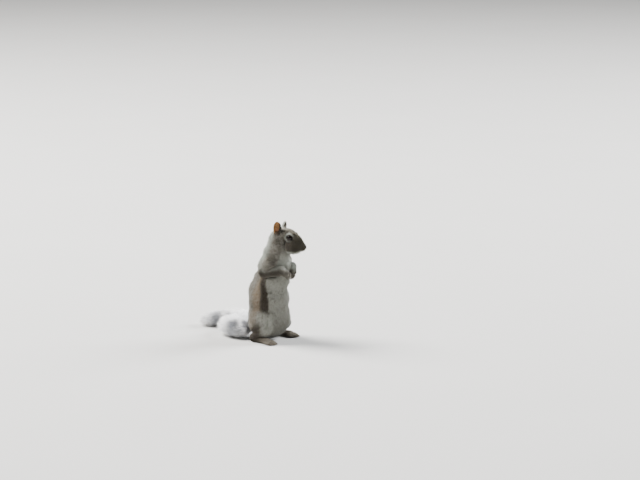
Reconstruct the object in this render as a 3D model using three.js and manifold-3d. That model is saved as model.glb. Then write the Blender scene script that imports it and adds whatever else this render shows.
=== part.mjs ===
// Eastern grey squirrel, standing upright on its hind legs with the forepaws folded on the chest.
// A still, life-size model: every solid reaches out to the tips of the coat.
// Millimetres, +Z up. The animal faces +X, its left side is +Y and the floor is Z = 0.
// The trunk stands over X = 0, Y = 0 while it is built; the finished group is moved so that the
// origin lies on the floor under the middle of the whole animal.

import * as THREE from 'three';
import { mergeVertices } from 'three/addons/utils/BufferGeometryUtils.js';
import Module from 'manifold-3d';

const wasm = await Module();
wasm.setup();

// ---------------------------------------------------------------- driving dimensions

const GAP = 0.3;
const CLEARANCE = 0.4;
const CELL = { trunk: 11, head: 5.2, arm: 6.6, leg: 9.5, sole: 7.5, palm: 6.4 };

// Trunk and neck: a chain of balls from the pelvis up to the back of the skull.
const TRUNK = [
  { x: 4, y: 0, z: 45, r: 40.5 },
  { x: 0, y: 0, z: 88, r: 41 },
  { x: -1.6, y: 0, z: 102, r: 39.5 },
  { x: 6, y: 0, z: 123, r: 36 },
  { x: 12, y: 0, z: 134, r: 34.5 },
  { x: 16.5, y: 0, z: 157, r: 34.5 },
  { x: 19.6, y: 1, z: 180, r: 27.8 },
  { x: 25, y: 2, z: 202, r: 24 },
  { x: 26.5, y: 2, z: 215, r: 21 },
  { x: 28, y: 3, z: 224, r: 15 },
];
const RUMP = { x: -9, y: 0, z: 41, r: 36.5 };
const TRUNK_BLEND = 4;
const TRUNK_FOOT = 5;
const FACE_FOOT = 165;

// Head: its own frame, with the origin midway between the eyes, x to the nose, y to the left.
const HEAD_PLACE = new THREE.Vector3(55.5, 6.5, 222);
const HEAD_TURN = THREE.MathUtils.degToRad(9);
const HEAD_ROLL = THREE.MathUtils.degToRad(-7);
const CRANIUM = { centre: [-14, 0, 0], radii: [19, 18, 16.5] };
const FACE = [
  { x: -4, y: 0, z: -0.5, r: 13.6 },
  { x: 7, y: 0, z: -11.5, r: 15.4 },
  { x: 20, y: 0, z: -19.2, r: 10.1 },
  { x: 26, y: 0, z: -20.4, r: 6.1 },
];
const FACE_WIDTH = 0.92;
const CHEEK = { x: 1.5, y: 6, z: -21.7, r: 14.8 };
const HEAD_BLEND = 6;
const EYE = { x: -1.2, y: 10.6, z: -3, r: 6.3 };
const NOSE = { centre: [28.8, 0, -18.4], radii: [3.2, 3.3, 2.7] };

// Ear: a cupped shell whose opening looks forwards and outwards.
const EAR = {
  centre: [-28, 16.5, 14.2], halfWidth: 8.2, halfHeight: 15, halfThickness: 1.9, cup: 4.2,
  outward: THREE.MathUtils.degToRad(48), splay: THREE.MathUtils.degToRad(14),
};

// Forelimb of each side (y is the distance from the middle plane).
const ARM = {
  right: {
    shoulder: [22, -26, 166, 15], elbow: [14.5, -35, 150, 12], wrist: [46, -22, 153.5, 11],
    palm: [54, -17, 147.5, 7.8], fingers: [61, -9, 140],
  },
  left: {
    shoulder: [22, 26, 166, 15], elbow: [14.5, 37, 146, 12], wrist: [46.5, 17.5, 156, 10.3],
    palm: [54, 9.5, 147, 8], fingers: [57, 4, 133],
  },
};
const FINGER = { count: 4, spread: 3.6, knuckle: 2.6, tip: 1.7, length: 12, shorten: 0.45, arch: 2.4, curl: 2.6 };

// Hind limb (y is the distance from the middle plane).
const THIGH = { centre: [2, 30, 41.5], radii: [30.5, 19.5, 36] };
const KNEE = [17, 35, 31, 11.5];
const ANKLE = [-10, 38, 11.5, 10];
const FOOT = { heel: [-13, 38, 6.5, 7.5], ball: [26, 41, 5.5, 7.2] };
const TOE = { count: 5, spread: 4.1, fan: 1.25, knuckle: 3.2, tip: 2.1, reach: [12, 17, 19, 17, 11], arch: 1.4, drop: 3 };
const CLAW = { radius: 0.95, length: 4.4, gap: 0.6, front: { droop: 1.2, slope: 1 }, hind: { droop: 0.8, slope: 0.3 } };

// Tail: it leaves the rump, lies down on the floor and runs back in an S.
const TAIL = {
  root: [-26, 0], heading: 218, length: 232, lift: 12, landing: 38,
  bends: [
    { from: 22, to: 99, turn: -137 },
    { from: 99, to: 172, turn: 131 },
  ],
  width: [18, 24, 26, 26.5, 26.5, 26, 26, 24.5, 19, 9],
  height: [30, 36, 39, 38, 37, 37, 38, 35, 28, 15],
  cuts: [30, 99, 170],
  sides: 12,
};

// Thin cuts between the nodes of the trunk, each with its normal towards the head.
const WAIST = { point: [0, 0, 118], normal: [0, 0, 1] };
const COLLAR = { point: [19, 1, 182], normal: [0.35, 0.03, 0.93] };
const NAPE = { point: [-18, 0, -14], normal: [0.854, 0, 0.52] };

// ---------------------------------------------------------------- distance fields

const vector = (values) => new THREE.Vector3(values[0], values[1], values[2]);

/** Ball chain link: a cone with round ends, from ball a to ball b. */
function link(a, b) {
  const start = new THREE.Vector3(a.x, a.y, a.z);
  const along = new THREE.Vector3(b.x, b.y, b.z).sub(start);
  const lengthSquared = along.lengthSq();
  const from = new THREE.Vector3();
  return (p) => {
    from.subVectors(p, start);
    const t = THREE.MathUtils.clamp(from.dot(along) / lengthSquared, 0, 1);
    return from.addScaledVector(along, -t).length() - THREE.MathUtils.lerp(a.r, b.r, t);
  };
}

function ellipsoid(centre, radii) {
  const middle = vector(centre);
  const size = vector(radii);
  const unit = new THREE.Vector3();
  const slope = new THREE.Vector3();
  return (p) => {
    unit.subVectors(p, middle).divide(size);
    slope.copy(unit).divide(size);
    const length = unit.length();
    return length * (length - 1) / Math.max(slope.length(), 1e-6);
  };
}

/** Union of fields, rounded over the width k where they meet. */
function blend(k, fields) {
  return (p) => fields.reduce((near, field) => {
    const next = field(p);
    const overlap = Math.max(k - Math.abs(near - next), 0) / k;
    return Math.min(near, next) - overlap * overlap * k / 4;
  }, Infinity);
}

const chain = (balls) => balls.slice(1).map((ball, i) => link(balls[i], ball));
const ball = ([x, y, z, r]) => ({ x, y, z, r });

/** The same field seen in a narrower space: y is divided by the width. */
function narrowed(width, field) {
  const q = new THREE.Vector3();
  return (p) => field(q.set(p.x, p.y / width, p.z));
}

/** The same field on both sides of the middle plane. */
function mirrored(field) {
  const q = new THREE.Vector3();
  return (p) => field(q.set(p.x, Math.abs(p.y), p.z));
}

const above = (height) => (p) => height - p.z;
const both = (a, b) => (p) => Math.max(a(p), b(p));

// ---------------------------------------------------------------- surfaces from fields

const CELL_EDGES = [];
for (let corner = 0; corner < 8; corner += 1) {
  for (const bit of [1, 2, 4]) {
    if (!(corner & bit)) CELL_EDGES.push([corner, corner | bit]);
  }
}

/** Moves a point onto the surface where the field is zero. */
function settle(p, field, cell) {
  const step = cell / 20;
  for (let round = 0; round < 3; round += 1) {
    const value = field(p);
    const slope = new THREE.Vector3(
      field(p.clone().setX(p.x + step)) - value,
      field(p.clone().setY(p.y + step)) - value,
      field(p.clone().setZ(p.z + step)) - value,
    ).divideScalar(step);
    const move = THREE.MathUtils.clamp(-value / Math.max(slope.lengthSq(), 0.2), -cell / 2, cell / 2);
    p.addScaledVector(slope, move);
  }
  return p;
}

/**
 * Closed surface of a field that is positive outside a box: one vertex for each cell that the
 * surface crosses and one quad for each grid edge that it crosses.
 */
function polygonise(field, low, high, cell) {
  const first = low.map((value) => value - cell);
  const size = [0, 1, 2].map((i) => Math.ceil((high[i] - first[i]) / cell) + 2);
  const stride = [1, size[0], size[0] * size[1]];
  const corner = (i, j, k) => new THREE.Vector3(first[0] + i * cell, first[1] + j * cell, first[2] + k * cell);
  const id = (i, j, k) => i + j * stride[1] + k * stride[2];
  const values = new Float32Array(size[0] * size[1] * size[2]);
  for (let k = 0; k < size[2]; k += 1) {
    for (let j = 0; j < size[1]; j += 1) {
      for (let i = 0; i < size[0]; i += 1) values[id(i, j, k)] = field(corner(i, j, k));
    }
  }
  const vertexOf = new Map();
  const points = [];
  const place = (i, j, k) => {
    const total = new THREE.Vector3();
    let crossings = 0;
    const at = (n) => [i + (n & 1), j + ((n >> 1) & 1), k + ((n >> 2) & 1)];
    for (const [a, b] of CELL_EDGES) {
      const start = values[id(...at(a))];
      const end = values[id(...at(b))];
      if ((start < 0) === (end < 0)) continue;
      total.add(corner(...at(a)).lerp(corner(...at(b)), start / (start - end)));
      crossings += 1;
    }
    if (!crossings) return;
    vertexOf.set(id(i, j, k), points.length);
    points.push(settle(total.divideScalar(crossings), field, cell));
  };
  for (let k = 0; k < size[2] - 1; k += 1) {
    for (let j = 0; j < size[1] - 1; j += 1) {
      for (let i = 0; i < size[0] - 1; i += 1) place(i, j, k);
    }
  }
  const index = [];
  const addQuad = (quad) => {
    const [a, b, c, d] = quad.map((cellId) => vertexOf.get(cellId));
    if (points[a].distanceTo(points[c]) < points[b].distanceTo(points[d])) index.push(a, b, c, a, c, d);
    else index.push(a, b, d, b, c, d);
  };
  for (let k = 1; k < size[2] - 1; k += 1) {
    for (let j = 1; j < size[1] - 1; j += 1) {
      for (let i = 1; i < size[0] - 1; i += 1) {
        const here = id(i, j, k);
        for (let axis = 0; axis < 3; axis += 1) {
          const inside = values[here] < 0;
          if (inside === (values[here + stride[axis]] < 0)) continue;
          const u = stride[(axis + 1) % 3];
          const v = stride[(axis + 2) % 3];
          const quad = [here, here - u, here - u - v, here - v];
          addQuad(inside ? quad : quad.reverse());
        }
      }
    }
  }
  const geometry = new THREE.BufferGeometry().setFromPoints(points);
  geometry.setIndex(index);
  return geometry;
}

/** Closed surface through rings of points, each ring turning counter-clockwise about the way forward. */
function loft(rings) {
  const sides = rings[0].length;
  const middle = (ring) => ring.reduce((sum, p) => sum.add(p), new THREE.Vector3()).divideScalar(sides);
  const points = [...rings.flat(), middle(rings[0]), middle(rings.at(-1))];
  const start = rings.length * sides;
  const last = start - sides;
  const index = [];
  for (let i = 0; i < sides; i += 1) {
    const next = (i + 1) % sides;
    for (let base = 0; base < last; base += sides) {
      index.push(base + i, base + next, base + sides + next);
      index.push(base + i, base + sides + next, base + sides + i);
    }
    index.push(start, next, i);
    index.push(start + 1, last + i, last + next);
  }
  const geometry = new THREE.BufferGeometry().setFromPoints(points);
  geometry.setIndex(index);
  return geometry;
}

// ---------------------------------------------------------------- solids

function solidOf(geometry) {
  const bare = geometry.clone();
  bare.deleteAttribute('normal');
  bare.deleteAttribute('uv');
  const merged = mergeVertices(bare);
  return new wasm.Manifold(new wasm.Mesh({
    numProp: 3,
    vertProperties: new Float32Array(merged.attributes.position.array),
    triVerts: new Uint32Array(merged.index.array),
  }));
}

function geometryOf(solid) {
  const mesh = solid.getMesh();
  const geometry = new THREE.BufferGeometry();
  geometry.setAttribute('position', new THREE.BufferAttribute(mesh.vertProperties, 3));
  geometry.setIndex(new THREE.BufferAttribute(mesh.triVerts, 1));
  geometry.computeVertexNormals();
  return geometry;
}

/** The same surface, moved outwards by a distance. */
function swollen(geometry, distance) {
  const copy = geometry.clone();
  copy.deleteAttribute('uv');
  copy.deleteAttribute('normal');
  const merged = mergeVertices(copy);
  merged.computeVertexNormals();
  const { position, normal } = merged.attributes;
  for (let i = 0; i < position.count; i += 1) {
    position.setXYZ(
      i,
      position.getX(i) + normal.getX(i) * distance,
      position.getY(i) + normal.getY(i) * distance,
      position.getZ(i) + normal.getZ(i) * distance,
    );
  }
  return merged;
}

/** A mass of flesh: its solid, and the slightly larger space that its neighbours keep clear of. */
function mass(...geometries) {
  const join = (solids) => solids.reduce((whole, solid) => whole.add(solid));
  return {
    solid: join(geometries.map(solidOf)),
    space: join(geometries.map((geometry) => solidOf(swollen(geometry, CLEARANCE)))),
  };
}

const clearOf = (solid, ...masses) => masses.reduce((left, other) => left.subtract(other.space), solid);

/** Everything on one side of a cut, as a large box: side 1 is the side its normal points to. */
function halfSpace(cut, side) {
  const reach = 600;
  const normal = vector(cut.normal).normalize().multiplyScalar(side);
  const box = new THREE.BoxGeometry(reach, reach, reach);
  box.translate(0, 0, reach / 2 - GAP / 2);
  box.applyQuaternion(new THREE.Quaternion().setFromUnitVectors(new THREE.Vector3(0, 0, 1), normal));
  box.translate(...cut.point);
  return solidOf(box);
}

const before = (solid, cut) => solid.subtract(halfSpace(cut, 1));
const after = (solid, cut) => solid.subtract(halfSpace(cut, -1));
const underFloor = solidOf(new THREE.BoxGeometry(900, 900, 200).translate(0, 0, -100));

// ---------------------------------------------------------------- head frame

const headFrame = new THREE.Matrix4().makeRotationZ(HEAD_TURN)
  .multiply(new THREE.Matrix4().makeRotationX(HEAD_ROLL))
  .setPosition(HEAD_PLACE);
const toHead = headFrame.clone().invert();
const headPoint = (values) => vector(values).applyMatrix4(headFrame);

function headCut(cut) {
  const normal = vector(cut.normal).transformDirection(headFrame);
  return { point: headPoint(cut.point).toArray(), normal: normal.toArray() };
}

// ---------------------------------------------------------------- materials

const coat = (color, roughness = 0.95) => new THREE.MeshStandardMaterial({ color, roughness, metalness: 0 });
const MATERIAL = {
  back: coat(0x85796c),
  belly: coat(0xc9c6bd),
  head: coat(0x7c7264),
  ear: coat(0xa5714c),
  tail: coat(0xb9b8bb),
  paw: coat(0x6f665c, 0.85),
  eye: coat(0x15100d, 0.08),
  nose: coat(0x332b28, 0.5),
  claw: coat(0x2e2621, 0.35),
};

const squirrel = new THREE.Group();

function addNode(name, solid, material) {
  const mesh = new THREE.Mesh(geometryOf(solid), material);
  mesh.name = name;
  squirrel.add(mesh);
}

// ---------------------------------------------------------------- trunk, neck and head

const trunkField = both(blend(TRUNK_BLEND, [...chain(TRUNK), link(RUMP, TRUNK[1])]), above(TRUNK_FOOT));
const faceField = blend(HEAD_BLEND, [
  ellipsoid(CRANIUM.centre, CRANIUM.radii),
  ...chain(FACE).map((field) => narrowed(FACE_WIDTH, field)),
  mirrored(link(CHEEK, { ...CHEEK, x: CHEEK.x + 5 })),
]);
const scratch = new THREE.Vector3();
const headField = (p) => faceField(scratch.copy(p).applyMatrix4(toHead));
const bodyField = blend(HEAD_BLEND, [trunkField, headField]);

const napeCut = headCut(NAPE);
const body = mass(polygonise(trunkField, [-60, -60, 0], [80, 60, 250], CELL.trunk));
const face = mass(polygonise(both(bodyField, above(FACE_FOOT)), [-30, -50, 155], [100, 60, 256], CELL.head));

/** A ball or egg in the head frame, as a geometry. */
function headEgg(centre, radii, around, up) {
  const geometry = new THREE.SphereGeometry(1, around, up);
  geometry.rotateX(Math.PI / 2);
  geometry.scale(...radii);
  geometry.translate(...centre);
  return geometry.applyMatrix4(headFrame);
}

function eyeball(side) {
  return mass(headEgg([EYE.x, side * EYE.y, EYE.z], [EYE.r, EYE.r, EYE.r], 10, 7));
}

/** Cupped ear shell: the round face is pushed back most at its middle. */
function earShell(side) {
  const geometry = new THREE.SphereGeometry(1, 12, 7);
  const { position } = geometry.attributes;
  for (let i = 0; i < position.count; i += 1) {
    const n = position.getX(i);
    const s = -position.getZ(i);
    const t = position.getY(i);
    const egg = 1.04 - 0.08 * t + 0.1 * t * t;
    position.setXYZ(i, n * EAR.halfThickness - EAR.cup * n * n, s * EAR.halfWidth * egg, t * EAR.halfHeight);
  }
  geometry.scale(1, side, 1);
  if (side < 0) geometry.index.array.reverse();
  geometry.rotateZ(side * EAR.outward);
  geometry.rotateX(-side * EAR.splay);
  geometry.translate(EAR.centre[0], side * EAR.centre[1], EAR.centre[2]);
  return geometry.applyMatrix4(headFrame);
}

const eyes = { left: eyeball(1), right: eyeball(-1) };
const nosePad = mass(headEgg(NOSE.centre, NOSE.radii, 8, 6));

addNode('abdomen', before(body.solid, WAIST), MATERIAL.belly);
addNode('chest', before(after(body.solid, WAIST), COLLAR), MATERIAL.back);
addNode('neck', before(after(body.solid, COLLAR), napeCut), MATERIAL.back);
addNode('head', clearOf(after(face.solid, napeCut), eyes.left, eyes.right, nosePad), MATERIAL.head);
addNode('eye_left', eyes.left.solid, MATERIAL.eye);
addNode('eye_right', eyes.right.solid, MATERIAL.eye);
addNode('nose', nosePad.solid, MATERIAL.nose);
addNode('ear_left', clearOf(solidOf(earShell(1)), face), MATERIAL.ear);
addNode('ear_right', clearOf(solidOf(earShell(-1)), face), MATERIAL.ear);

// ---------------------------------------------------------------- digits and claws

/** Round tapered finger, toe or claw along a curve; the ends close to a fraction of the radius. */
function taperedRod(curve, radii, across, sides) {
  const rings = radii.map((radius, n) => {
    const t = n / (radii.length - 1);
    const forward = curve.getTangent(t);
    const side = new THREE.Vector3().crossVectors(across, forward).cross(forward).negate().normalize();
    const up = new THREE.Vector3().crossVectors(forward, side);
    return Array.from({ length: sides }, (_, i) => {
      const angle = 2 * Math.PI * i / sides;
      return curve.getPoint(t)
        .addScaledVector(side, radius * Math.cos(angle))
        .addScaledVector(up, radius * Math.sin(angle));
    });
  });
  return loft(rings);
}

function digitRod(curve, knuckle, tip, across) {
  return taperedRod(curve, [knuckle * 0.7, knuckle, tip, tip * 0.5], across, 5);
}

/** Claw that goes on from a digit's tip and droops towards the palm or sole. */
function clawRod(curve, bend, palmar, across) {
  const forward = curve.getTangent(1);
  forward.setZ(forward.z * bend.slope).normalize();
  const root = curve.getPoint(1).addScaledVector(forward, CLAW.gap);
  const middle = root.clone().addScaledVector(forward, CLAW.length * 0.6);
  const point = root.clone().addScaledVector(forward, CLAW.length).addScaledVector(palmar, bend.droop);
  const bent = new THREE.QuadraticBezierCurve3(root, middle, point);
  return taperedRod(bent, [CLAW.radius, CLAW.radius * 0.8, CLAW.radius * 0.3], across, 4);
}

/** Adds a paw with its digits joined to it, and each claw as a node of its own. */
function addPaw(name, palm, curves, digit, claw, palmar, across, around) {
  const digits = curves.map((curve) => digitRod(curve, digit.knuckle, digit.tip, across));
  const paw = mass(palm, ...digits);
  addNode(name, clearOf(paw.solid, ...around).subtract(underFloor), MATERIAL.paw);
  curves.forEach((curve, i) => {
    addNode(`claw_${name}_${i + 1}`, solidOf(clawRod(curve, claw, palmar, across)), MATERIAL.claw);
  });
  return paw;
}

// ---------------------------------------------------------------- hind limbs

function hindLimb(side, label) {
  const flip = ([x, y, z, r]) => [x, side * y, z, r];
  const low = [-45, side > 0 ? 0 : -66, -14];
  const high = [62, side > 0 ? 66 : 0, 92];
  const hip = ball([...flip(THIGH.centre).slice(0, 3), THIGH.radii[1]]);
  const thighField = blend(8, [
    ellipsoid(flip(THIGH.centre), THIGH.radii),
    link(hip, ball(flip(KNEE))),
  ]);
  const shankField = link(ball(flip(KNEE)), ball(flip(ANKLE)));
  const soleField = link(ball(flip(FOOT.heel)), ball(flip(FOOT.ball)));
  const thigh = mass(polygonise(thighField, low, high, CELL.leg));
  const shank = mass(polygonise(shankField, low, high, CELL.leg));
  const sole = polygonise(soleField, low, high, CELL.sole);
  addNode(`thigh_${label}`, clearOf(thigh.solid, body), MATERIAL.back);
  addNode(`shank_${label}`, clearOf(shank.solid, body, thigh).subtract(underFloor), MATERIAL.back);
  const root = vector(flip(FOOT.ball));
  const curves = TOE.reach.map((reach, i) => {
    const offset = side * (i - (TOE.count - 1) / 2) * TOE.spread;
    const start = root.clone().add(vector([-4, offset * 0.85, -1.2]));
    const knuckle = root.clone().add(vector([reach * 0.5, offset * 1.1, TOE.arch]));
    const end = root.clone().add(vector([reach, offset * TOE.fan, -TOE.drop]));
    return new THREE.QuadraticBezierCurve3(start, knuckle, end);
  });
  const down = new THREE.Vector3(0, 0, -1);
  const across = new THREE.Vector3(0, 1, 0);
  const around = [body, thigh, shank];
  const foot = addPaw(`foot_${label}`, sole, curves, TOE, CLAW.hind, down, across, around);
  return [thigh, shank, foot];
}

const hindMasses = [...hindLimb(1, 'left'), ...hindLimb(-1, 'right')];

// ---------------------------------------------------------------- forelimbs

/** Cut through a bent joint, halfway between the two limbs that meet there. */
function jointCut(upper, joint, lower) {
  const toUpper = vector(upper).sub(vector(joint)).normalize();
  const toLower = vector(lower).sub(vector(joint)).normalize();
  return { point: joint.slice(0, 3), normal: toLower.sub(toUpper).normalize().toArray() };
}

function fingerCurves(palm, fingers) {
  const centre = vector(palm);
  const forward = vector(fingers).sub(centre).normalize();
  const palmar = new THREE.Vector3(-1, 0, 0).projectOnPlane(forward).normalize();
  const across = new THREE.Vector3().crossVectors(forward, palmar);
  const at = (aside, ahead, inward) => centre.clone()
    .addScaledVector(across, aside)
    .addScaledVector(forward, ahead)
    .addScaledVector(palmar, inward);
  const curves = Array.from({ length: FINGER.count }, (_, i) => {
    const offset = (i - (FINGER.count - 1) / 2) * FINGER.spread;
    const reach = FINGER.length - FINGER.shorten * Math.abs(offset);
    return new THREE.QuadraticBezierCurve3(
      at(offset * 0.9, 2, 0),
      at(offset * 1.1, reach * 0.75, -FINGER.arch),
      at(offset * 1.1, reach + 2, FINGER.curl),
    );
  });
  return { curves, palmar, across };
}

function foreLimb(label, { shoulder, elbow, wrist, palm, fingers }, others) {
  const field = blend(3, [link(ball(shoulder), ball(elbow)), link(ball(elbow), ball(wrist))]);
  const outer = shoulder[1] * 2.3;
  const low = [-14, Math.min(0, outer), 120];
  const high = [74, Math.max(0, outer), 192];
  const arm = mass(polygonise(field, low, high, CELL.arm));
  const elbowCut = jointCut(shoulder, elbow, wrist);
  const free = clearOf(arm.solid, body, face, ...others);
  addNode(`upper_arm_${label}`, before(free, elbowCut), MATERIAL.back);
  addNode(`forearm_${label}`, after(free, elbowCut), MATERIAL.back);
  const pawField = link({ ...ball(wrist), r: palm[3] }, ball(palm));
  const palmShape = polygonise(pawField, [30, -50, 125], [80, 50, 180], CELL.palm);
  const { curves, palmar, across } = fingerCurves(palm, fingers);
  const around = [body, arm, ...others];
  const paw = addPaw(`hand_${label}`, palmShape, curves, FINGER, CLAW.front, palmar, across, around);
  return [arm, paw];
}

const rightArm = foreLimb('right', ARM.right, []);
foreLimb('left', ARM.left, rightArm);

// ---------------------------------------------------------------- tail

/** Place and heading at each millimetre of the tail's middle line on the floor plan. */
function tailRoute() {
  const ease = (t) => THREE.MathUtils.smoothstep(t, 0, 1);
  const stations = [];
  const place = new THREE.Vector2(...TAIL.root);
  for (let s = 0; s <= TAIL.length; s += 1) {
    const turned = TAIL.bends.reduce((sum, bend) => (
      sum + bend.turn * THREE.MathUtils.lerp(
        THREE.MathUtils.clamp((s - bend.from) / (bend.to - bend.from), 0, 1),
        ease((s - bend.from) / (bend.to - bend.from)),
        0.35,
      )
    ), 0);
    const heading = THREE.MathUtils.degToRad(TAIL.heading + turned);
    stations.push({ x: place.x, y: place.y, heading });
    place.x += Math.cos(heading);
    place.y += Math.sin(heading);
  }
  return stations;
}

/** Value of a profile, given at equal steps along the tail, at the fraction t of its length. */
function profileAt(values, t) {
  const place = THREE.MathUtils.clamp(t, 0, 1) * (values.length - 1);
  const low = Math.min(Math.floor(place), values.length - 2);
  return THREE.MathUtils.lerp(values[low], values[low + 1], place - low);
}

const route = tailRoute();

/** Ring of the tail at a distance from its root: an oval that lies flat where it meets the floor. */
function tailRing(s) {
  const low = Math.min(Math.floor(s), route.length - 2);
  const part = s - low;
  const x = THREE.MathUtils.lerp(route[low].x, route[low + 1].x, part);
  const y = THREE.MathUtils.lerp(route[low].y, route[low + 1].y, part);
  const heading = THREE.MathUtils.lerp(route[low].heading, route[low + 1].heading, part);
  const width = profileAt(TAIL.width, s / TAIL.length);
  const height = profileAt(TAIL.height, s / TAIL.length);
  const lift = TAIL.lift * (1 - THREE.MathUtils.smoothstep(s, 0, TAIL.landing));
  const flat = 0.14 * height;
  return Array.from({ length: TAIL.sides }, (_, i) => {
    const angle = 2 * Math.PI * (i + 0.5) / TAIL.sides;
    const aside = width * Math.cos(angle);
    const z = Math.max(lift, lift - flat + (height + flat) / 2 * (1 + Math.sin(angle)));
    return new THREE.Vector3(x - Math.sin(heading) * aside, y + Math.cos(heading) * aside, z);
  });
}

const tailEnds = [0, ...TAIL.cuts, TAIL.length - 1];
for (let n = 0; n < tailEnds.length - 1; n += 1) {
  const start = tailEnds[n] + (n ? GAP / 2 : 0);
  const end = tailEnds[n + 1] - GAP / 2;
  const steps = Math.round((end - start) / 9);
  const rings = Array.from({ length: steps + 1 }, (_, i) => tailRing(start + (end - start) * i / steps));
  addNode(`tail_${n + 1}`, clearOf(solidOf(loft(rings)), body, ...hindMasses), MATERIAL.tail);
}

// ---------------------------------------------------------------- origin under the middle

squirrel.updateMatrixWorld(true);
const extent = new THREE.Box3().setFromObject(squirrel);
const middle = extent.getCenter(new THREE.Vector3());
squirrel.position.set(-middle.x, -middle.y, -extent.min.z);

export default squirrel;
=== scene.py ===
"""Looks of a life-size, still grey squirrel that stands upright on its hind legs.

One skin is made from a field of rounded shapes, and tufts of fur are grown from it as solid mesh.
Shapes are worked out in millimetres in the body frame: +X is forwards, +Y is the animal's left,
+Z is up, the floor is Z = 0 and the trunk stands over X = 0, Y = 0.
"""

import math
from collections import namedtuple

import bpy
import numpy as np
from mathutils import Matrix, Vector


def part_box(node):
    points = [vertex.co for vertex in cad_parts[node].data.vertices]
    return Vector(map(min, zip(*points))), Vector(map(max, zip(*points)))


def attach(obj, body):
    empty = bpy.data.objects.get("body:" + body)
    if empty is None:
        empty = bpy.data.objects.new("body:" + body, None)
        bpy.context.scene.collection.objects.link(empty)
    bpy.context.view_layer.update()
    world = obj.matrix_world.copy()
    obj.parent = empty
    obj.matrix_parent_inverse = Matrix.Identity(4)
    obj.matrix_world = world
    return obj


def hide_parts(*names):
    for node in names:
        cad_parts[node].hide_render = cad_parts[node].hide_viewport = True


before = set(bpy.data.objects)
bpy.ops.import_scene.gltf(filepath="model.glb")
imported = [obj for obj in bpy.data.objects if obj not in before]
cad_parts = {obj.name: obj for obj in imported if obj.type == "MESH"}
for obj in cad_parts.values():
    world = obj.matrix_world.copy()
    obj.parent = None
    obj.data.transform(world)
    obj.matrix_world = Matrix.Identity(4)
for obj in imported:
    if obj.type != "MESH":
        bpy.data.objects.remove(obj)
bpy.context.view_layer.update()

bl_info = {
    "name": "Grey Squirrel Figure",
    "version": (1, 0, 0),
    "blender": (4, 5, 0),
    "location": "View3D > Sidebar > Squirrel",
    "description": "Builds the skin, coat, eyes, claws and whiskers of a life-size squirrel figure",
    "category": "Object",
}

MM = 0.001
BODY = "root"

# ---------------------------------------------------------------- body plan, in millimetres

# Balls are (x, y, z, radius) out to the tips of the coat.
TRUNK = [
    (4, 0, 45, 40.5), (0, 0, 88, 41), (-1.6, 0, 102, 39.5), (6, 0, 123, 36), (12, 0, 134, 34.5),
    (16.5, 0, 157, 34.5), (19.6, 1, 180, 27.8), (25, 2, 202, 24), (26.5, 2, 215, 21), (28, 3, 224, 15),
]
RUMP = (-9, 0, 41, 36.5)
NECK_FROM = 5

HEAD_PLACE = np.array((55.5, 6.5, 222))
HEAD_TURN = math.radians(9)
HEAD_ROLL = math.radians(-7)
CRANIUM = ((-14, 0, 0), (19, 18, 16.5))
FACE = [(-4, 0, -0.5, 13.6), (7, 0, -11.5, 15.4), (20, 0, -19.2, 10.1), (26, 0, -20.4, 6.1)]
FACE_WIDTH = 0.92
CHEEK = (1.5, 6, -21.7, 14.8)
CHEEK_LENGTH = 5
# Small shapes of the head: two balls in its frame and the width over which they are rounded in.
BROW = ((4.5, 7.4, 3.6, 2.6), (-7, 10.2, 4.8, 3.2), 4)
CHIN = ((12, 0, -25, 4.6), (23.6, 0, -25.3, 2.3), 2.5)
WHISKER_PAD = ((22.6, 4.3, -20.6), (6.4, 4.2, 4.6))
# Line of the mouth: its height at its front, its slope and its sag about its middle.
MOUTH_HEIGHT, MOUTH_SLOPE, MOUTH_SAG = -23.7, 0.05, 0.01
MOUTH_FRONT, MOUTH_MIDDLE, MOUTH_CORNER = 29, 23, 15.5
EYE = (-1.2, 10.6, -3)
EYE_RADIUS = 6.3
CORNEA = 0.045
EYE_AXIS = (0.2, 0.96, 0.14)
EYE_SLANT = math.radians(-16)
EYE_OPENING = (math.radians(64), math.radians(45))
LID_RADIUS = 0.55
LID_DEPTH = 1.1
EYE_GAP = 0.08
NOSE = ((28.8, 0, -18.4), (2.9, 2.9, 2.35))
NOSE_LOBE = ((30.1, 1.35, -18.7, 1.6), (28.8, 1.9, -18.9, 1.5), 0.9)
NOSTRIL = ((31, 1.5, -19.2, 0.7), (29.2, 3.2, -18.2, 0.85), 0.35)
LIP_SPLIT = ((31.9, 0, -19.6, 0.5), (29.6, 0, -24, 0.95), 0.4)

EAR = (-28, 16.5, 14.2)
EAR_HALF_WIDTH = 7.6
EAR_HALF_HEIGHT = 14.2
EAR_CUP = 4.2
EAR_THICKNESS = 0.75
EAR_OUTWARD = math.radians(48)
EAR_SPLAY = math.radians(14)
# Balls of the ear's root and canal: across, up and out of the leaf, and radius.
EAR_ROOT = ((0.5, -11, -1.5, 5.2), (0, -6, -1.2, 2.6))
EAR_CANAL = ((0, -9, 2.2, 2), (0.4, -12, 0.6, 1.6))
EAR_EDGE_TURNS = np.radians((-52, -25, 0, 25, 48))
EAR_EDGE_RADII = (1.15, 1)

# Forelimbs: y is signed, because the two sides differ.
ARM = {
    "right": {
        "shoulder": (22, -26, 166, 15), "elbow": (14.5, -35, 150, 12), "wrist": (46, -22, 153.5, 11),
        "palm": (54, -17, 147.5, 7.8), "fingers": (61, -9, 140),
    },
    "left": {
        "shoulder": (22, 26, 166, 15), "elbow": (14.5, 37, 146, 12), "wrist": (46.5, 17.5, 156, 10.3),
        "palm": (54, 9.5, 147, 8), "fingers": (57, 4, 133),
    },
}
FINGER_COUNT = 4
FINGER_SPREAD = 3.6
FINGER_LENGTH = 12
FINGER_SHORTEN = 0.45
FINGER_ARCH = 2.4
FINGER_CURL = 2.6
FINGER_RADII = (2.3, 2.1, 1.55)

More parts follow.
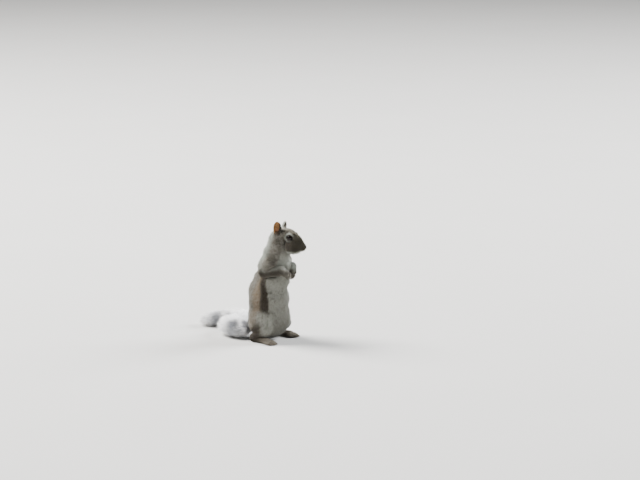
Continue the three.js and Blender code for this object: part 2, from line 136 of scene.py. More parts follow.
# Hind limbs: y is the distance from the middle plane.
THIGH = ((2, 30, 41.5), (30.5, 19.5, 36))
KNEE = (17, 35, 31, 11.5)
ANKLE = (-10, 38, 11.5, 10)
HEEL = (-13, 38, 6.5, 7.5)
FOOT_BALL = (26, 41, 5.5, 7.2)
TOE_SPREAD = 4.1
TOE_FAN = 1.25
TOE_REACH = (12, 17, 19, 17, 11)
TOE_ARCH = 1.4
TOE_DROP = 3
TOE_RADII = (2.6, 2.5, 1.9)

CLAW_LENGTH = 5.7
CLAW_RADIUS = 0.95
CLAW_ARCH = 0.44
CLAW_SET_BACK = 0.9
CLAW_RAISED = 0.35

# Whiskers and brow hairs: the first one's root or way out, and the change to the next and the next row.
WHISKER_ROOTS = ((26.5, 4.6, -17.6), (-2.6, 0.75, 0), (0, 0, -1.75))
WHISKER_WAYS = ((0.35, 1, 0.45), (-0.35, 0, 0), (0, -0.05, -0.33))
BROW_HAIR_ROOTS = ((3.5, 9.3, 5.4), (-2.2, 0, 0.4))
BROW_HAIR_WAYS = ((-0.15, 0.8, 0.9), (-0.2, 0, 0))
WHISKERS_IN_ROWS = (4, 4, 4, 3)
BROW_HAIRS = 3

TAIL_ROOT = (-26, 0)
TAIL_HEADING = 218
TAIL_LENGTH = 232
TAIL_LIFT = 12
TAIL_LANDING = 38
TAIL_BENDS = [(22, 99, -137), (99, 172, 131)]
TAIL_WIDTH = [18, 24, 26, 26.5, 26.5, 26, 26, 24.5, 19, 9]
TAIL_HEIGHT = [30, 36, 39, 38, 37, 37, 38, 35, 28, 15]
TAIL_CORE = 0.5
TAIL_CORE_LENGTH = 207
TAIL_SPREAD = 0.3

# Height of the soles over the floor, the field's value far off, and how far round itself a part counts.
SOLE = 0.25
FAR = 20.0
MARGIN = 7.0
SIDES = ((-1, "right"), (1, "left"))

# Styles of the coat: its depth over the skin and the width over which its parts are rounded together,
# then the tufts' length and half width, lift off the skin in degrees, and number to a square millimetre.
Style = namedtuple("Style", "depth rounding length width lift density")
STYLE = {
    "trunk": Style(4.6, 4, 9.6, 0.3, 22, 1.9),
    "neck": Style(4.0, 4, 8.0, 0.275, 24, 2.25),
    "crown": Style(2.8, 6, 5.2, 0.2, 24, 4.7),
    "cheek": Style(3.4, 6, 5.6, 0.21, 24, 4.4),
    "face": Style(2.0, 6, 3.4, 0.15, 21, 9.2),
    "muzzle": Style(1.1, 6, 2.1, 0.12, 23, 15),
    "ear": Style(0, 2, 2.0, 0.145, 13, 8.7),
    "arm": Style(3.2, 6, 7.0, 0.275, 23, 2.4),
    "forearm": Style(2.6, 2.2, 5.0, 0.225, 20, 3.7),
    "palm": Style(1.0, 2, 2.5, 0.16, 17, 6.4),
    "finger": Style(0.4, 0.6, 1.7, 0.13, 17, 8),
    "thigh": Style(4.6, 7, 8.2, 0.305, 18, 1.85),
    "shank": Style(3.0, 5, 5.6, 0.26, 17, 2.4),
    "foot": Style(1.2, 2.5, 2.9, 0.175, 17, 5.4),
    "toe": Style(0.4, 0.6, 1.9, 0.14, 17, 8),
    "tail": Style(0, 7, 22.0, 0.31, 29, 2.6),
}
ZONES = {
    "trunk": ("trunk", "neck"),
    "head": ("crown", "cheek", "face", "muzzle"),
    "ear": ("ear",),
    "arm": ("arm", "forearm"),
    "hand": ("palm", "finger"),
    "leg": ("thigh", "shank"),
    "foot": ("foot", "toe"),
    "tail": ("tail",),
}

# Heights on the trunk and the angle from the breast at which the pale belly ends there.
BELLY_EDGE = [(40, 60), (60, 59), (100, 53), (110, 58), (123, 67), (134, 78), (150, 76), (165, 60),
              (180, 46), (200, 38)]
# Soft patches of painted shade, each a place and a reach: in the folds on the neck and in the curls of
# the tail's hair, then in the head's frame on the cheek, in the hollow behind it and under the ear's foot.
# None leaves an axis out.
NECK_FOLDS = [((26.7, 25.3, 196.5), 7), ((23.4, 27.9, 179.3), 8)]
TAIL_CURL_SHADES = [((-54, -29, 22), 12), ((-140, 31, 17), 13)]
CHEEK_SHADE = ((3, None, -18), 15)
BEHIND_CHEEK = ((-13, None, -22), 12.5)
UNDER_EAR = ((-24, 17, -6), 6.5)

# Masks that are kept together in each layer of the skin.
MASK_LAYERS = {
    "marks": ("pale", "warm", "dark"),
    "tones": ("rust", "silver", "brown"),
    "growth": ("bare", "flesh", "hairless"),
}

# Where the coat is parted into pieces: how far forward in the head's frame the face starts, the neck's
# height, the angle from the breast at which the belly ends, and the distances down the tail.
FACE_FROM = -3
NECK_HEIGHT = 178
BELLY_ANGLE = 75
TAIL_CUTS = (-99, 85, 150, 999)

# Steps of the graded grid that the skin is made on: (from, to, step) along each axis.
GRID = (
    [(-200, -60, 2.6), (-60, 15, 2.2), (15, 92, 0.7)],
    [(-62, -27, 1.45), (-27, 36, 0.7), (36, 62, 1.5), (62, 92, 2.6)],
    [(-2, 14, 1.05), (14, 126, 2.3), (126, 166, 1.05), (166, 196, 1.6), (196, 256, 0.7)],
)


# ---------------------------------------------------------------- fields: distances in millimetres

def column(values):
    return np.array(values, np.float32)[:, None]


def length_of(vectors):
    return np.sqrt((vectors ** 2).sum(0))


def unit(vectors):
    return vectors / np.maximum(length_of(vectors), 1e-9)


def ramp(values, start, end):
    """Smooth step from 0 at start to 1 at end."""
    t = np.clip((values - start) / (end - start), 0, 1)
    return t * t * (3 - 2 * t)


def link(a, b, inset=0.0):
    """Cone with round ends, from ball a to ball b, its surface set in by a depth."""
    start = column(a[:3])
    along = column(b[:3]) - start
    squared = float((along ** 2).sum())

    def field(p):
        offset = p - start
        t = np.clip((along * offset).sum(0) / squared, 0, 1)
        offset -= along * t
        return length_of(offset) - (a[3] + (b[3] - a[3]) * t) + inset

    return field


def oval_distance(place, size):
    """Distance to an oval, from places that are given as shares of its half sizes."""
    reach = length_of(place)
    return reach * (reach - 1) / np.maximum(length_of(place / size), 1e-6)


def ellipsoid(centre, radii, inset=0.0):
    middle = column(centre)
    size = column(radii) - inset
    return lambda p: oval_distance((p - middle) / size, size)


def rounded(near, other, width):
    """Union of two distances, rounded over a width."""
    overlap = np.maximum(width - np.abs(near - other), 0) / width
    return np.minimum(near, other) - overlap * overlap * width / 4


def hollowed(near, other, width):
    """First distance with the second taken away, rounded over a width."""
    return -rounded(-near, other, width)


def turned_z(angle):
    c, s = math.cos(angle), math.sin(angle)
    return np.array(((c, -s, 0), (s, c, 0), (0, 0, 1)))


def turned_x(angle):
    c, s = math.cos(angle), math.sin(angle)
    return np.array(((1, 0, 0), (0, c, -s), (0, s, c)))


HEAD_AXES = turned_z(HEAD_TURN) @ turned_x(HEAD_ROLL)


def to_head(p):
    return (HEAD_AXES.T @ (p - HEAD_PLACE[:, None])).astype(np.float32)


def from_head(point):
    return HEAD_AXES @ np.array(point, float) + HEAD_PLACE


def flipped(point, side):
    return (point[0], side * point[1], *point[2:])


def ear_axes(side):
    return turned_x(-side * EAR_SPLAY) @ turned_z(side * EAR_OUTWARD)


def to_ear(p, side):
    """Places in the ear's own frame: x out of its opening, y across it away from the head, z up it."""
    local = ear_axes(side).T @ (to_head(p) - column(flipped(EAR, side)))
    local[1] *= side
    return local.astype(np.float32)


def ear_spread(local):
    """Distance from the ear's middle as a share of its half size, and its middle surface's x."""
    t = np.clip(local[2] / EAR_HALF_HEIGHT, -1.4, 1.4)
    egg = 1.04 - 0.08 * t + 0.1 * t * t
    share = np.sqrt((local[1] / (EAR_HALF_WIDTH * egg)) ** 2 + t * t)
    return share, -EAR_CUP * (1 - np.minimum(share, 1.15) ** 2)


def ear_plate(side):
    """Thin cupped leaf with a round rim."""
    def field(p):
        local = to_ear(p, side)
        share, middle = ear_spread(local)
        reach = length_of(local[1:]) / np.maximum(share, 1e-3)
        slope = 2 * EAR_CUP * np.minimum(share, 1) / reach
        off = (local[0] - middle) / np.sqrt(1 + slope ** 2)
        outside = np.maximum(share - 0.94, 0) * reach
        return np.sqrt(off ** 2 + outside ** 2) - EAR_THICKNESS

    return field


# ---------------------------------------------------------------- eye and its lids

def eye_axes(side):
    """Columns: the way the eye looks, towards its front corner, and up across it."""
    look = unit(np.array(flipped(EYE_AXIS, side), float))
    ahead = np.array((math.cos(EYE_SLANT), 0, math.sin(EYE_SLANT)))
    ahead = unit(ahead - look * (look @ ahead))
    up = np.array((0, 0, 1.0))
    up = unit(up - look * (look @ up) - ahead * (ahead @ up))
    return np.stack((look, ahead, up), 1)


def opening_angle(turn):
    """Angle off the eye's axis of the lids' edge, for a turn about the axis from the front corner."""
    wide, high = EYE_OPENING
    oval = 1 / np.sqrt((np.cos(turn) / wide) ** 2 + (np.sin(turn) / high) ** 2)
    return oval * (1 + 0.1 * np.maximum(np.cos(turn), 0) ** 8)


def past_lids(local):
    """Distance from the eye's middle, and the angle by which a point lies outside the lids' edge."""
    reach = length_of(local)
    angle = np.arccos(np.clip(local[0] / np.maximum(reach, 1e-3), -1, 1))
    return reach, angle - opening_angle(np.arctan2(local[2], local[1]))


def to_eye(p, side):
    """Places in the eye's own frame, whose axes are those of eye_axes."""
    return (eye_axes(side).T @ (to_head(p) - column(flipped(EYE, side)))).astype(np.float32)


def eye_opening(side):
    """Space in front of the eye between its lids."""
    def field(p):
        reach, past = past_lids(to_eye(p, side))
        return past * reach

    return field


def eye_ball(side, radius):
    centre = from_head(flipped(EYE, side))
    return link((*centre, radius), (*(centre + (0.01, 0, 0)), radius))


def lid_rim(side):
    """Ring of small balls along the edge of both lids."""
    axes = eye_axes(side)
    reach = EYE_RADIUS + LID_RADIUS * 0.85
    turns = np.linspace(0, 2 * np.pi, 25)
    angles = opening_angle(turns)
    ring = np.stack((np.cos(angles), np.sin(angles) * np.cos(turns), np.sin(angles) * np.sin(turns)))
    points = (axes @ ring * reach).T + flipped(EYE, side)
    balls = [(*from_head(point), LID_RADIUS) for point in points]
    links = [link(a, b) for a, b in zip(balls, balls[1:])]
    return lambda p: np.minimum.reduce([field(p) for field in links])


# ---------------------------------------------------------------- tail

def tail_route():
    """Place and heading of the tail's middle line on the floor plan, at each millimetre."""
    places = [np.array(TAIL_ROOT, float)]
    headings = []
    for s in range(TAIL_LENGTH + 1):
        turned = 0.0
        for start, end, turn in TAIL_BENDS:
            t = min(max((s - start) / (end - start), 0), 1)
            turned += turn * (0.65 * t + 0.35 * t * t * (3 - 2 * t))
        heading = math.radians(TAIL_HEADING + turned)
        headings.append(heading)
        places.append(places[-1] + (math.cos(heading), math.sin(heading)))
    return np.array(places[:-1]), np.array(headings)


TAIL_PLACES, TAIL_HEADINGS = tail_route()


def tail_place(p, last=TAIL_LENGTH):
    """Distance down the tail, distance to its left, and heading, for each point."""
    best = np.full(p.shape[1], np.inf, np.float32)
    station = np.zeros(p.shape[1], int)
    for s in range(0, last + 1, 2):
        distance = (p[0] - TAIL_PLACES[s, 0]) ** 2 + (p[1] - TAIL_PLACES[s, 1]) ** 2
        closer = distance < best
        best[closer] = distance[closer]
        station[closer] = s
    heading = TAIL_HEADINGS[station]
    offset = p[:2] - TAIL_PLACES[station].T
    along = offset[0] * np.cos(heading) + offset[1] * np.sin(heading)
    aside = offset[1] * np.cos(heading) - offset[0] * np.sin(heading)
    return station + along, aside, heading


def tail_profile(values, s):
    steps = np.linspace(0, TAIL_LENGTH, len(values))
    return np.interp(s, steps, values)


def tail_middle(s):
    """Height of the tail's middle over the floor."""
    return TAIL_LIFT * (1 - ramp(s, 0, TAIL_LANDING)) + 0.47 * tail_profile(TAIL_HEIGHT, s)


def tail_core(p):
    """Oval core of the tail under its long hair."""
    s, aside, _ = tail_place(p, TAIL_CORE_LENGTH)
    taper = 1 - 0.45 * ramp(s, 130, TAIL_CORE_LENGTH)
    wide = TAIL_CORE * tail_profile(TAIL_WIDTH, s) * taper
    high = TAIL_CORE * tail_profile(TAIL_HEIGHT, s) / 2 * taper
    beyond = np.maximum(np.maximum(s - TAIL_CORE_LENGTH, -s), 0)
    place = np.stack((aside / wide, (p[2] - tail_middle(s)) / high, beyond / high))
    return oval_distance(place, np.stack((wide, high, high))).astype(np.float32)


def tail_lie(p):
    """Down the tail, and outwards from its middle line."""
    s, aside, heading = tail_place(p)
    wide = tail_profile(TAIL_WIDTH, s)
    out = np.clip(aside / (TAIL_CORE * wide), -1, 1) * TAIL_SPREAD
    x = np.cos(heading) - np.sin(heading) * out
    y = np.sin(heading) + np.cos(heading) * out
    return np.stack((x, y, -0.1 * np.ones_like(x)))


# ---------------------------------------------------------------- the parts of the body

# How: "add" rounds the part into the body, "cut" takes it away, "mouth" cuts the groove of the lips.
Part = namedtuple("Part", "field low high how width style lie")


def part_over(field, points, reach, width, style=None, lie=None, how="add"):
    """Part that counts within a reach of its points, and is rounded into the others over a width."""
    points = np.array(points, float)
    pad = reach + MARGIN
    return Part(field, points.min(0) - pad, points.max(0) + pad, how, width, style, lie)


def fixed(direction):
    """Lie of the coat that is the same all over a part."""
    way = unit(np.array(direction, float))
    return lambda p: np.repeat(way[:, None], p.shape[1], 1)


def limb(a, b, style, lie=None):
    """Link of a limb in a style; its coat lies towards ball b unless a lie is given."""
    depth, width = STYLE[style][:2]
    way = lie or fixed(np.subtract(b[:3], a[:3]))
    return part_over(link(a, b, depth), (a[:3], b[:3]), max(a[3], b[3]), width, style, way)


def head_part(field, points, reach, width, style=None, lie=None, how="add"):
    """Part whose field and points are in the head's frame."""
    way = fixed(HEAD_AXES @ np.array(lie, float)) if lie else None
    places = [from_head(point) for point in points]
    return part_over(lambda p: field(to_head(p)), places, reach, width, style, way, how)


def head_fur(field, points, reach, style, lie):
    """Part of the head that carries a style of coat."""
    return head_part(field, points, reach, STYLE[style].rounding, style, lie)


def head_link(a, b, width, side=1, how="add"):
    """Small link between two balls in the head's frame."""
    a, b = flipped(a, side), flipped(b, side)
    return head_part(link(a, b), (a[:3], b[:3]), max(a[3], b[3]) + 2, width, how=how)


def trunk_parts():
    parts = []
    for i, (low, high) in enumerate(zip(TRUNK, TRUNK[1:])):
        down = fixed(np.subtract(low[:3], high[:3]) + (-2, 0, 0))
        parts.append(limb(low, high, "neck" if i >= NECK_FROM else "trunk", down))
    return [*parts, limb(RUMP, TRUNK[1], "trunk", fixed((-0.55, 0, -1)))]


def narrowed(field):
    scale = column((1, 1 / FACE_WIDTH, 1))
    return lambda p: field(p * scale)


def head_parts():
    middle, radii = CRANIUM
    cranium = ellipsoid(middle, radii, STYLE["crown"].depth)
    parts = [head_fur(cranium, [middle], max(radii), "crown", (-1, 0, -0.1))]
    styles = (("face", 0.12), ("face", -0.05), ("muzzle", -0.04))
    for low, high, (style, rise) in zip(FACE, FACE[1:], styles):
        field = narrowed(link(low, high, STYLE[style].depth))
        parts.append(head_fur(field, (low[:3], high[:3]), 15, style, (-1, 0, rise)))
    for side in (-1, 1):
        x, y, z, r = flipped(CHEEK, side)
        cheek = link((x, y, z, r), (x + CHEEK_LENGTH, y, z, r), STYLE["cheek"].depth)
        parts.append(head_fur(cheek, [(x, y, z)], r + CHEEK_LENGTH, "cheek", (-1, side * 0.12, -0.3)))
        parts.append(head_link(*BROW, side))
        pad = flipped(WHISKER_PAD[0], side)
        parts.append(head_part(ellipsoid(pad, WHISKER_PAD[1]), [pad], 7, 2.5))
    parts.append(head_link(*CHIN))
    return parts


def off_mouth(head):
    """Height over the line of the mouth, for places in the head's frame."""
    line = MOUTH_HEIGHT - MOUTH_SLOPE * (MOUTH_FRONT - head[0]) + MOUTH_SAG * (head[0] - MOUTH_MIDDLE) ** 2
    return head[2] - line


def mouth_cut(near, p):
    """Groove between the lips, just under the skin."""
    local = to_head(p)
    groove = np.maximum(np.abs(off_mouth(local)) - 0.5, -(near + 1.5))
    return hollowed(near, np.maximum(groove, MOUTH_CORNER - local[0]), 0.35)


def nose_parts():
    """The nose and its lobes, then the cuts of the mouth, the nostrils and the split of the lip."""
    centre, radii = NOSE
    return [
        head_part(ellipsoid(centre, radii), [centre], 3, 1.6),
        *(head_link(*NOSE_LOBE, side) for side in (-1, 1)),
        head_part(lambda p: p[0], [(MOUTH_MIDDLE, 0, -24)], 9, 0.3, how="mouth"),
        *(head_link(*NOSTRIL, side, how="cut") for side in (-1, 1)),
        head_link(*LIP_SPLIT, how="cut"),
    ]


def eye_parts(side):
    centre = from_head(flipped(EYE, side))
    return [
        part_over(eye_ball(side, EYE_RADIUS + LID_DEPTH), [centre], 8, 4.5),
        part_over(eye_opening(side), [centre], 5, 2.4, how="cut"),
        part_over(lid_rim(side), [centre], 4, 0.8),
        part_over(eye_ball(side, EYE_RADIUS + EYE_GAP), [centre], 4, 0.1, how="cut"),
    ]


def ear_parts(side):
    """The leaf of the ear, its root in the head, the rolled front edge and the opening in it."""
    axes = ear_axes(side)

    def ball(across, up, out, radius):
        _, middle = ear_spread(np.array((0, across, up), np.float32)[:, None])
        place = axes @ np.array((middle[0] + out, side * across, up)) + flipped(EAR, side)
        return (*place, radius)

    def edge(turn, radius):
        return ball(-EAR_HALF_WIDTH * math.cos(turn), EAR_HALF_HEIGHT * math.sin(turn), 0.4, radius)

    up = fixed(HEAD_AXES @ axes @ (0, 0, 1.0))
    middle = from_head(flipped(EAR, side))
    thick, thin = EAR_EDGE_RADII
    turns = zip(EAR_EDGE_TURNS, EAR_EDGE_TURNS[1:])
    return [
        part_over(ear_plate(side), [middle], 15, STYLE["ear"].rounding, "ear", up),
        head_link(*(ball(*place) for place in EAR_ROOT), 3.5),
        *(head_link(edge(a, thick), edge(b, thin), 1.2) for a, b in turns),
        head_link(*(ball(*place) for place in EAR_CANAL), 1.5, how="cut"),
    ]


def bezier(a, b, c, t):
    return tuple((1 - t) ** 2 * np.array(a) + 2 * t * (1 - t) * np.array(b) + t * t * np.array(c))


def finger_curves(label):
    """Control points of each finger, and the way the palm faces."""
    centre = np.array(ARM[label]["palm"][:3], float)
    forward = unit(np.array(ARM[label]["fingers"], float) - centre)
    palmar = np.array((-1.0, 0, 0))
    palmar = unit(palmar - forward * (palmar @ forward))
    across = np.cross(forward, palmar)
    curves = []
    for i in range(FINGER_COUNT):
        offset = (i - (FINGER_COUNT - 1) / 2) * FINGER_SPREAD
        reach = FINGER_LENGTH - FINGER_SHORTEN * abs(offset)
        steps = ((0.9, 2, 0), (1.1, reach * 0.75, -FINGER_ARCH), (1.1, reach + 2, FINGER_CURL))
        curves.append([centre + across * offset * a + forward * b + palmar * c for a, b, c in steps])
    return curves, palmar


def toe_curves(side):
    ball = np.array(flipped(FOOT_BALL[:3], side), float)
    curves = []
    for i, reach in enumerate(TOE_REACH):
        offset = side * (i - (len(TOE_REACH) - 1) / 2) * TOE_SPREAD
        curves.append([
            ball + (-4, offset * 0.85, -1.2),
            ball + (reach * 0.5, offset * 1.1, TOE_ARCH),
            ball + (reach, offset * TOE_FAN, -TOE_DROP),
        ])
    return curves


def digit_parts(curves, radii, style):
    parts = []
    for curve in curves:
        balls = [(*bezier(*curve, t), r) for t, r in zip((0, 0.5, 0.95), radii)]
        parts += [limb(a, b, style) for a, b in zip(balls, balls[1:])]
    return parts


def arm_parts(label):
    arm = ARM[label]
    thin_wrist = (*arm["wrist"][:3], arm["palm"][3])
    return [
        limb(arm["shoulder"], arm["elbow"], "arm"),
        limb(arm["elbow"], arm["wrist"], "forearm"),
        limb(thin_wrist, arm["palm"], "palm"),
        *digit_parts(finger_curves(label)[0], FINGER_RADII, "finger"),
    ]


def leg_parts(side):
    centre, radii = flipped(THIGH[0], side), THIGH[1]
    knee, ankle = flipped(KNEE, side), flipped(ANKLE, side)
    depth, width = STYLE["thigh"][:2]
    over_thigh = fixed((-0.3, side * 0.1, -1))
    return [
        part_over(ellipsoid(centre, radii, depth), [centre], 34, width, "thigh", over_thigh),
        limb((*centre, radii[1]), knee, "thigh", over_thigh),
        limb(knee, ankle, "shank"),
        limb(flipped(HEEL, side), flipped(FOOT_BALL, side), "foot"),
        *digit_parts(toe_curves(side), TOE_RADII, "toe"),
    ]


def tail_parts():
    reach = np.column_stack((TAIL_PLACES, np.full(len(TAIL_PLACES), 20.0)))
    return [part_over(tail_core, reach, 22, STYLE["tail"].rounding, "tail", tail_lie)]


PARTS = (
    trunk_parts() + head_parts() + arm_parts("right") + arm_parts("left") + leg_parts(-1) + leg_parts(1)
    + tail_parts() + ear_parts(-1) + ear_parts(1) + nose_parts() + eye_parts(-1) + eye_parts(1)
)


def joined(near, part, p):
    if part.how == "mouth":
        return mouth_cut(near, p)
    if part.how == "cut":
        return hollowed(near, part.field(p), part.width)
    return rounded(near, part.field(p), part.width)


def body_field(p):
    """Distance to the skin from each point, negative inside, up to FAR."""
    near = np.full(p.shape[1], FAR, np.float32)
    for part in PARTS:
        inside = ((p > part.low[:, None]) & (p < part.high[:, None])).all(0)
        if inside.any():
            near[inside] = joined(near[inside], part, p[:, inside])
    return np.maximum(near, SOLE - p[2])


# ---------------------------------------------------------------- skin surface from the field

def graded(spans):
    """Grid lines of one axis."""
    lines = [np.linspace(a, b, round((b - a) / step), endpoint=False) for a, b, step in spans]
    return np.append(np.concatenate(lines), spans[-1][1]).astype(np.float32)


def field_on_grid(axes):
    values = np.full([len(axis) for axis in axes], FAR, np.float32)
    for part in PARTS:
        spans = [slice(*np.searchsorted(axis, (low, high)))
                 for axis, low, high in zip(axes, part.low, part.high)]
        block = values[tuple(spans)]
        p = np.stack([g.ravel() for g in np.meshgrid(*(a[s] for a, s in zip(axes, spans)), indexing="ij")])
        values[tuple(spans)] = joined(block.ravel(), part, p).reshape(block.shape)
    return np.maximum(values, SOLE - axes[2][None, None, :])


def surface_net(values, axes):
    """Vertices and quads of the surface where the values are zero, one vertex to each crossed cell."""
    inside = values < 0
    cells = tuple(n - 1 for n in values.shape)
    corners = [(a, b, c) for a in (0, 1) for b in (0, 1) for c in (0, 1)]
    count = np.zeros(cells, np.int8)
    for a, b, c in corners:
        count += inside[a:a + cells[0], b:b + cells[1], c:c + cells[2]]
    crossed = (count > 0) & (count < 8)
    where = np.nonzero(crossed)
    number = np.full(cells, -1, np.int32)
    number[where] = np.arange(len(where[0]))
    total = np.zeros((3, len(where[0])))
    hits = np.zeros(len(where[0]))
    for corner in corners:
        for axis in range(3):
            if corner[axis]:
                continue
            end = tuple(c + (i == axis) for i, c in enumerate(corner))
            first = tuple(w + c for w, c in zip(where, corner))
            last = tuple(w + c for w, c in zip(where, end))
            low, high = values[first], values[last]
            cross = (low < 0) != (high < 0)
            t = np.where(cross, low / np.where(cross, low - high, 1), 0)
            for i in range(3):
                start, stop = axes[i][first[i]], axes[i][last[i]]
                total[i] += cross * (start + (stop - start) * t)
            hits += cross
    quads = []
    for axis in range(3):
        second, third = (axis + 1) % 3, (axis + 2) % 3
        ahead = np.moveaxis(inside, axis, 0)
        change = np.moveaxis(ahead[1:] != ahead[:-1], 0, axis)
        edge = np.stack(np.nonzero(change))
        outward = inside[tuple(edge)]
        ring = []
        for back_second, back_third in ((1, 1), (0, 1), (0, 0), (1, 0)):
            cell = edge.copy()
            cell[second] -= back_second
            cell[third] -= back_third
            ring.append(number[tuple(cell)])
        quad = np.stack(ring, 1)
        quads.append(np.where(outward[:, None], quad, quad[:, ::-1]))
    return total / hits, np.concatenate(quads)


def settle(p, rounds=2):
    """Moves points onto the skin."""
    step = 0.12
    for _ in range(rounds):
        value = body_field(p)
        slope = np.stack([body_field(p + column(way)) - value for way in np.eye(3) * step]) / step
        push = np.clip(-value / np.maximum((slope ** 2).sum(0), 0.3), -0.8, 0.8)
        p = (p + slope * push).astype(np.float32)
    return p


# ---------------------------------------------------------------- coat lie, style and markings

def style_weights(p):
    """Share of each styled part at each point, the nearest part having most."""
    styled = [part for part in PARTS if part.style]
    distance = np.stack([part.field(p) for part in styled])
    share = np.exp(-(distance - distance.min(0)) / 2.2)
    return styled, share / share.sum(0)


def trunk_angle(p):
    """Angle about the trunk from the breast (0) to the back (180), in degrees."""
    heights = [ball[2] for ball in TRUNK]
    x = np.interp(p[2], heights, [ball[0] for ball in TRUNK])
    y = np.interp(p[2], heights, [ball[1] for ball in TRUNK])
    return np.degrees(np.arctan2(np.abs(p[1] - y), p[0] - x))


def band(values, start, full, fade, end):
    """Rises from start to full and falls again from fade to end."""
    return ramp(values, start, full) * (1 - ramp(values, fade, end))


def eye_ring(p):
    """Pale ring of short hair round each eye, fullest behind and above."""
    ring = np.zeros(p.shape[1], np.float32)
    for side in (-1, 1):
        local = to_eye(p, side)
        fullness = 0.55 - 0.35 * np.cos(np.arctan2(local[2], local[1]) + 0.4)
        near = band(length_of(local[1:]), 5.0, 6.0, 7.4, 9.2) * (local[0] > -3)
        ring = np.maximum(ring, near * fullness)
    return ring


def patch(p, place, reach):
    """Soft round patch about a place, 1 at its middle; an axis where the place is None is left out."""
    squared = sum((row - at) ** 2 for row, at in zip(p, place) if at is not None)
    return np.exp(-squared / reach ** 2)


def folded(p):
    """Points of the right side moved over to the left, so that both sides are treated alike."""
    return np.stack((p[0], np.abs(p[1]), p[2]))


def trunk_marks(p, zone):
    """Pale belly, cinnamon flank and darker low flank, with painted shade on the belly, throat and neck
    folds and in the band beside the belly, and a painted highlight on the nape.
    """
    angle, height = trunk_angle(p), p[2]
    edge = np.interp(height, *zip(*BELLY_EDGE))
    breast = ramp(height, 150, 172)
    # Painted shade that deepens towards the floor.
    low_shade = 1 - ramp(height, 16, 76)
    # Pale belly, greyed by painted shade on the throat under the head, below the breast and towards the
    # floor.
    pale = (1 - ramp(angle, edge - 4, edge + 3)) * (1 - 0.7 * ramp(height, 170, 202))
    pale *= (0.35 + 0.41 * breast) * (1 - 0.4 * low_shade)
    # Painted highlight: the back of the neck paler, for the light that falls on it from behind.
    pale += ramp(height, 140, 185) * ramp(angle, 90, 114)
    pale *= 1 - wedge(p, angle)
    low = (1 - ramp(height, 128, 162)) * ramp(height, 48, 60)
    # Painted shade: the dark band beside the belly, in the fold between flank and belly.
    dark = band(angle, edge - 3, edge + 3, edge + 16, edge + 32) * low
    # Painted shade: the thigh's wedge, and the belly darker below the breast, under the arms and most
    # towards the floor.
    dark += wedge(p, angle) + (0.48 + 0.3 * low_shade) * (1 - ramp(angle, edge - 8, edge)) * (1 - breast)
    # Painted shade in the folds of the neck.
    dark += 0.1 * sum(patch(folded(p), *fold) for fold in NECK_FOLDS)
    dark += 0.38 * band(angle, edge + 12, edge + 26, 112, 130) * band(height, 50, 60, 82, 106)
    warm = band(angle, edge + 14, edge + 26, 98, 118) * (1 - ramp(height, 150, 188)) * ramp(height, 45, 60)
    return pale * zone["trunk"], dark * zone["trunk"], warm * zone["trunk"]


def wedge(p, angle):
    """Painted shade: dark wedge low on the thigh's side, in the fold between thigh and rump, wider towards
    the heel.
    """
    back = 136 - 32 * ramp(p[2], 10, 46)
    return band(angle, 70, 88, back - 12, back + 12) * (1 - ramp(p[2], 34, 60))


def leg_marks(p, zone):
    """Pale front of the thigh, with painted shade: the dark wedge low on its side, and the front darker
    and less pale towards the floor.
    """
    angle, height = trunk_angle(p), p[2]
    edge = 78 + 14 * ramp(height, 28, 50)
    # Painted shade that deepens towards the floor.
    clear_of_low_shade = ramp(height, 20, 60)
    front = 1 - ramp(angle, edge - 6, edge + 5)
    pale = front * (1 - 0.25 * ramp(angle, 62, 80)) * (0.34 + 0.24 * clear_of_low_shade) * (1 - wedge(p, angle))
    # Painted shade: the wedge, and the thigh's front darker towards the floor.
    dark = wedge(p, angle) + 0.42 * (1 - clear_of_low_shade) * front
    warm = band(angle, 84, 100, 112, 140) * 0.3
    return pale * zone["leg"], dark * zone["leg"], warm * zone["leg"]


def arm_marks(p, normal, zone):
    """Pale top of the arm as a painted highlight, painted shade under it and on the hands, a painted
    highlight on the left wrist, and browner hands and arms.
    """
    height = p[2]
    # Painted highlight on the left wrist.
    left_wrist_highlight = ramp(p[1], 2, 9) * ramp(p[0], 30, 42) * ramp(height, 143, 159)
    # Painted highlight on the arm's upward faces.
    pale = zone["arm"] * 0.5 * ramp(normal[2], 0.1, 0.75) * (1 - ramp(height, 160, 172))
    pale += (zone["arm"] + zone["hand"]) * 0.95 * left_wrist_highlight
    # Painted shade on the arm, deepest low down and on its downward faces, and painted shade on the hands.
    shaded = (0.26 + 0.55 * (1 - ramp(height, 149, 164))) * (1 - 0.7 * ramp(normal[2], 0, 0.7))
    dark = (zone["arm"] * shaded + zone["hand"] * 0.3) * (1 - left_wrist_highlight)
    brown = (zone["hand"] * 0.6 + zone["arm"] * 0.2) * (1 - left_wrist_highlight)
    return pale, dark, brown


def head_marks(head, facing, zone):
    """Pale chin, dark lips and olive brown face, with painted shade on the cheek and under the ear, from
    places in the head's frame.
    """
    pale = zone["head"] * 0.65 * ramp(-head[2], 25, 31) * ramp(-facing[2], 0.45, 0.9)
    lips = (1 - ramp(np.abs(off_mouth(head)), 0.5, 1.5)) * ramp(head[0], 14.5, 19) * ramp(-head[2], 19, 21)
    # Painted shade on the cheek, and the dark lips.
    dark = zone["head"] * (patch(head, *CHEEK_SHADE) + 0.9 * lips)
    # Painted shade under the ear's foot.
    dark += 0.8 * patch(folded(head), *UNDER_EAR) * (zone["head"] + zone["trunk"])
    brown = zone["head"] * (0.5 + 0.5 * ramp(head[0], -16, 4)) * (1 - ramp(-facing[2], 0.6, 0.95))
    return pale, dark, brown


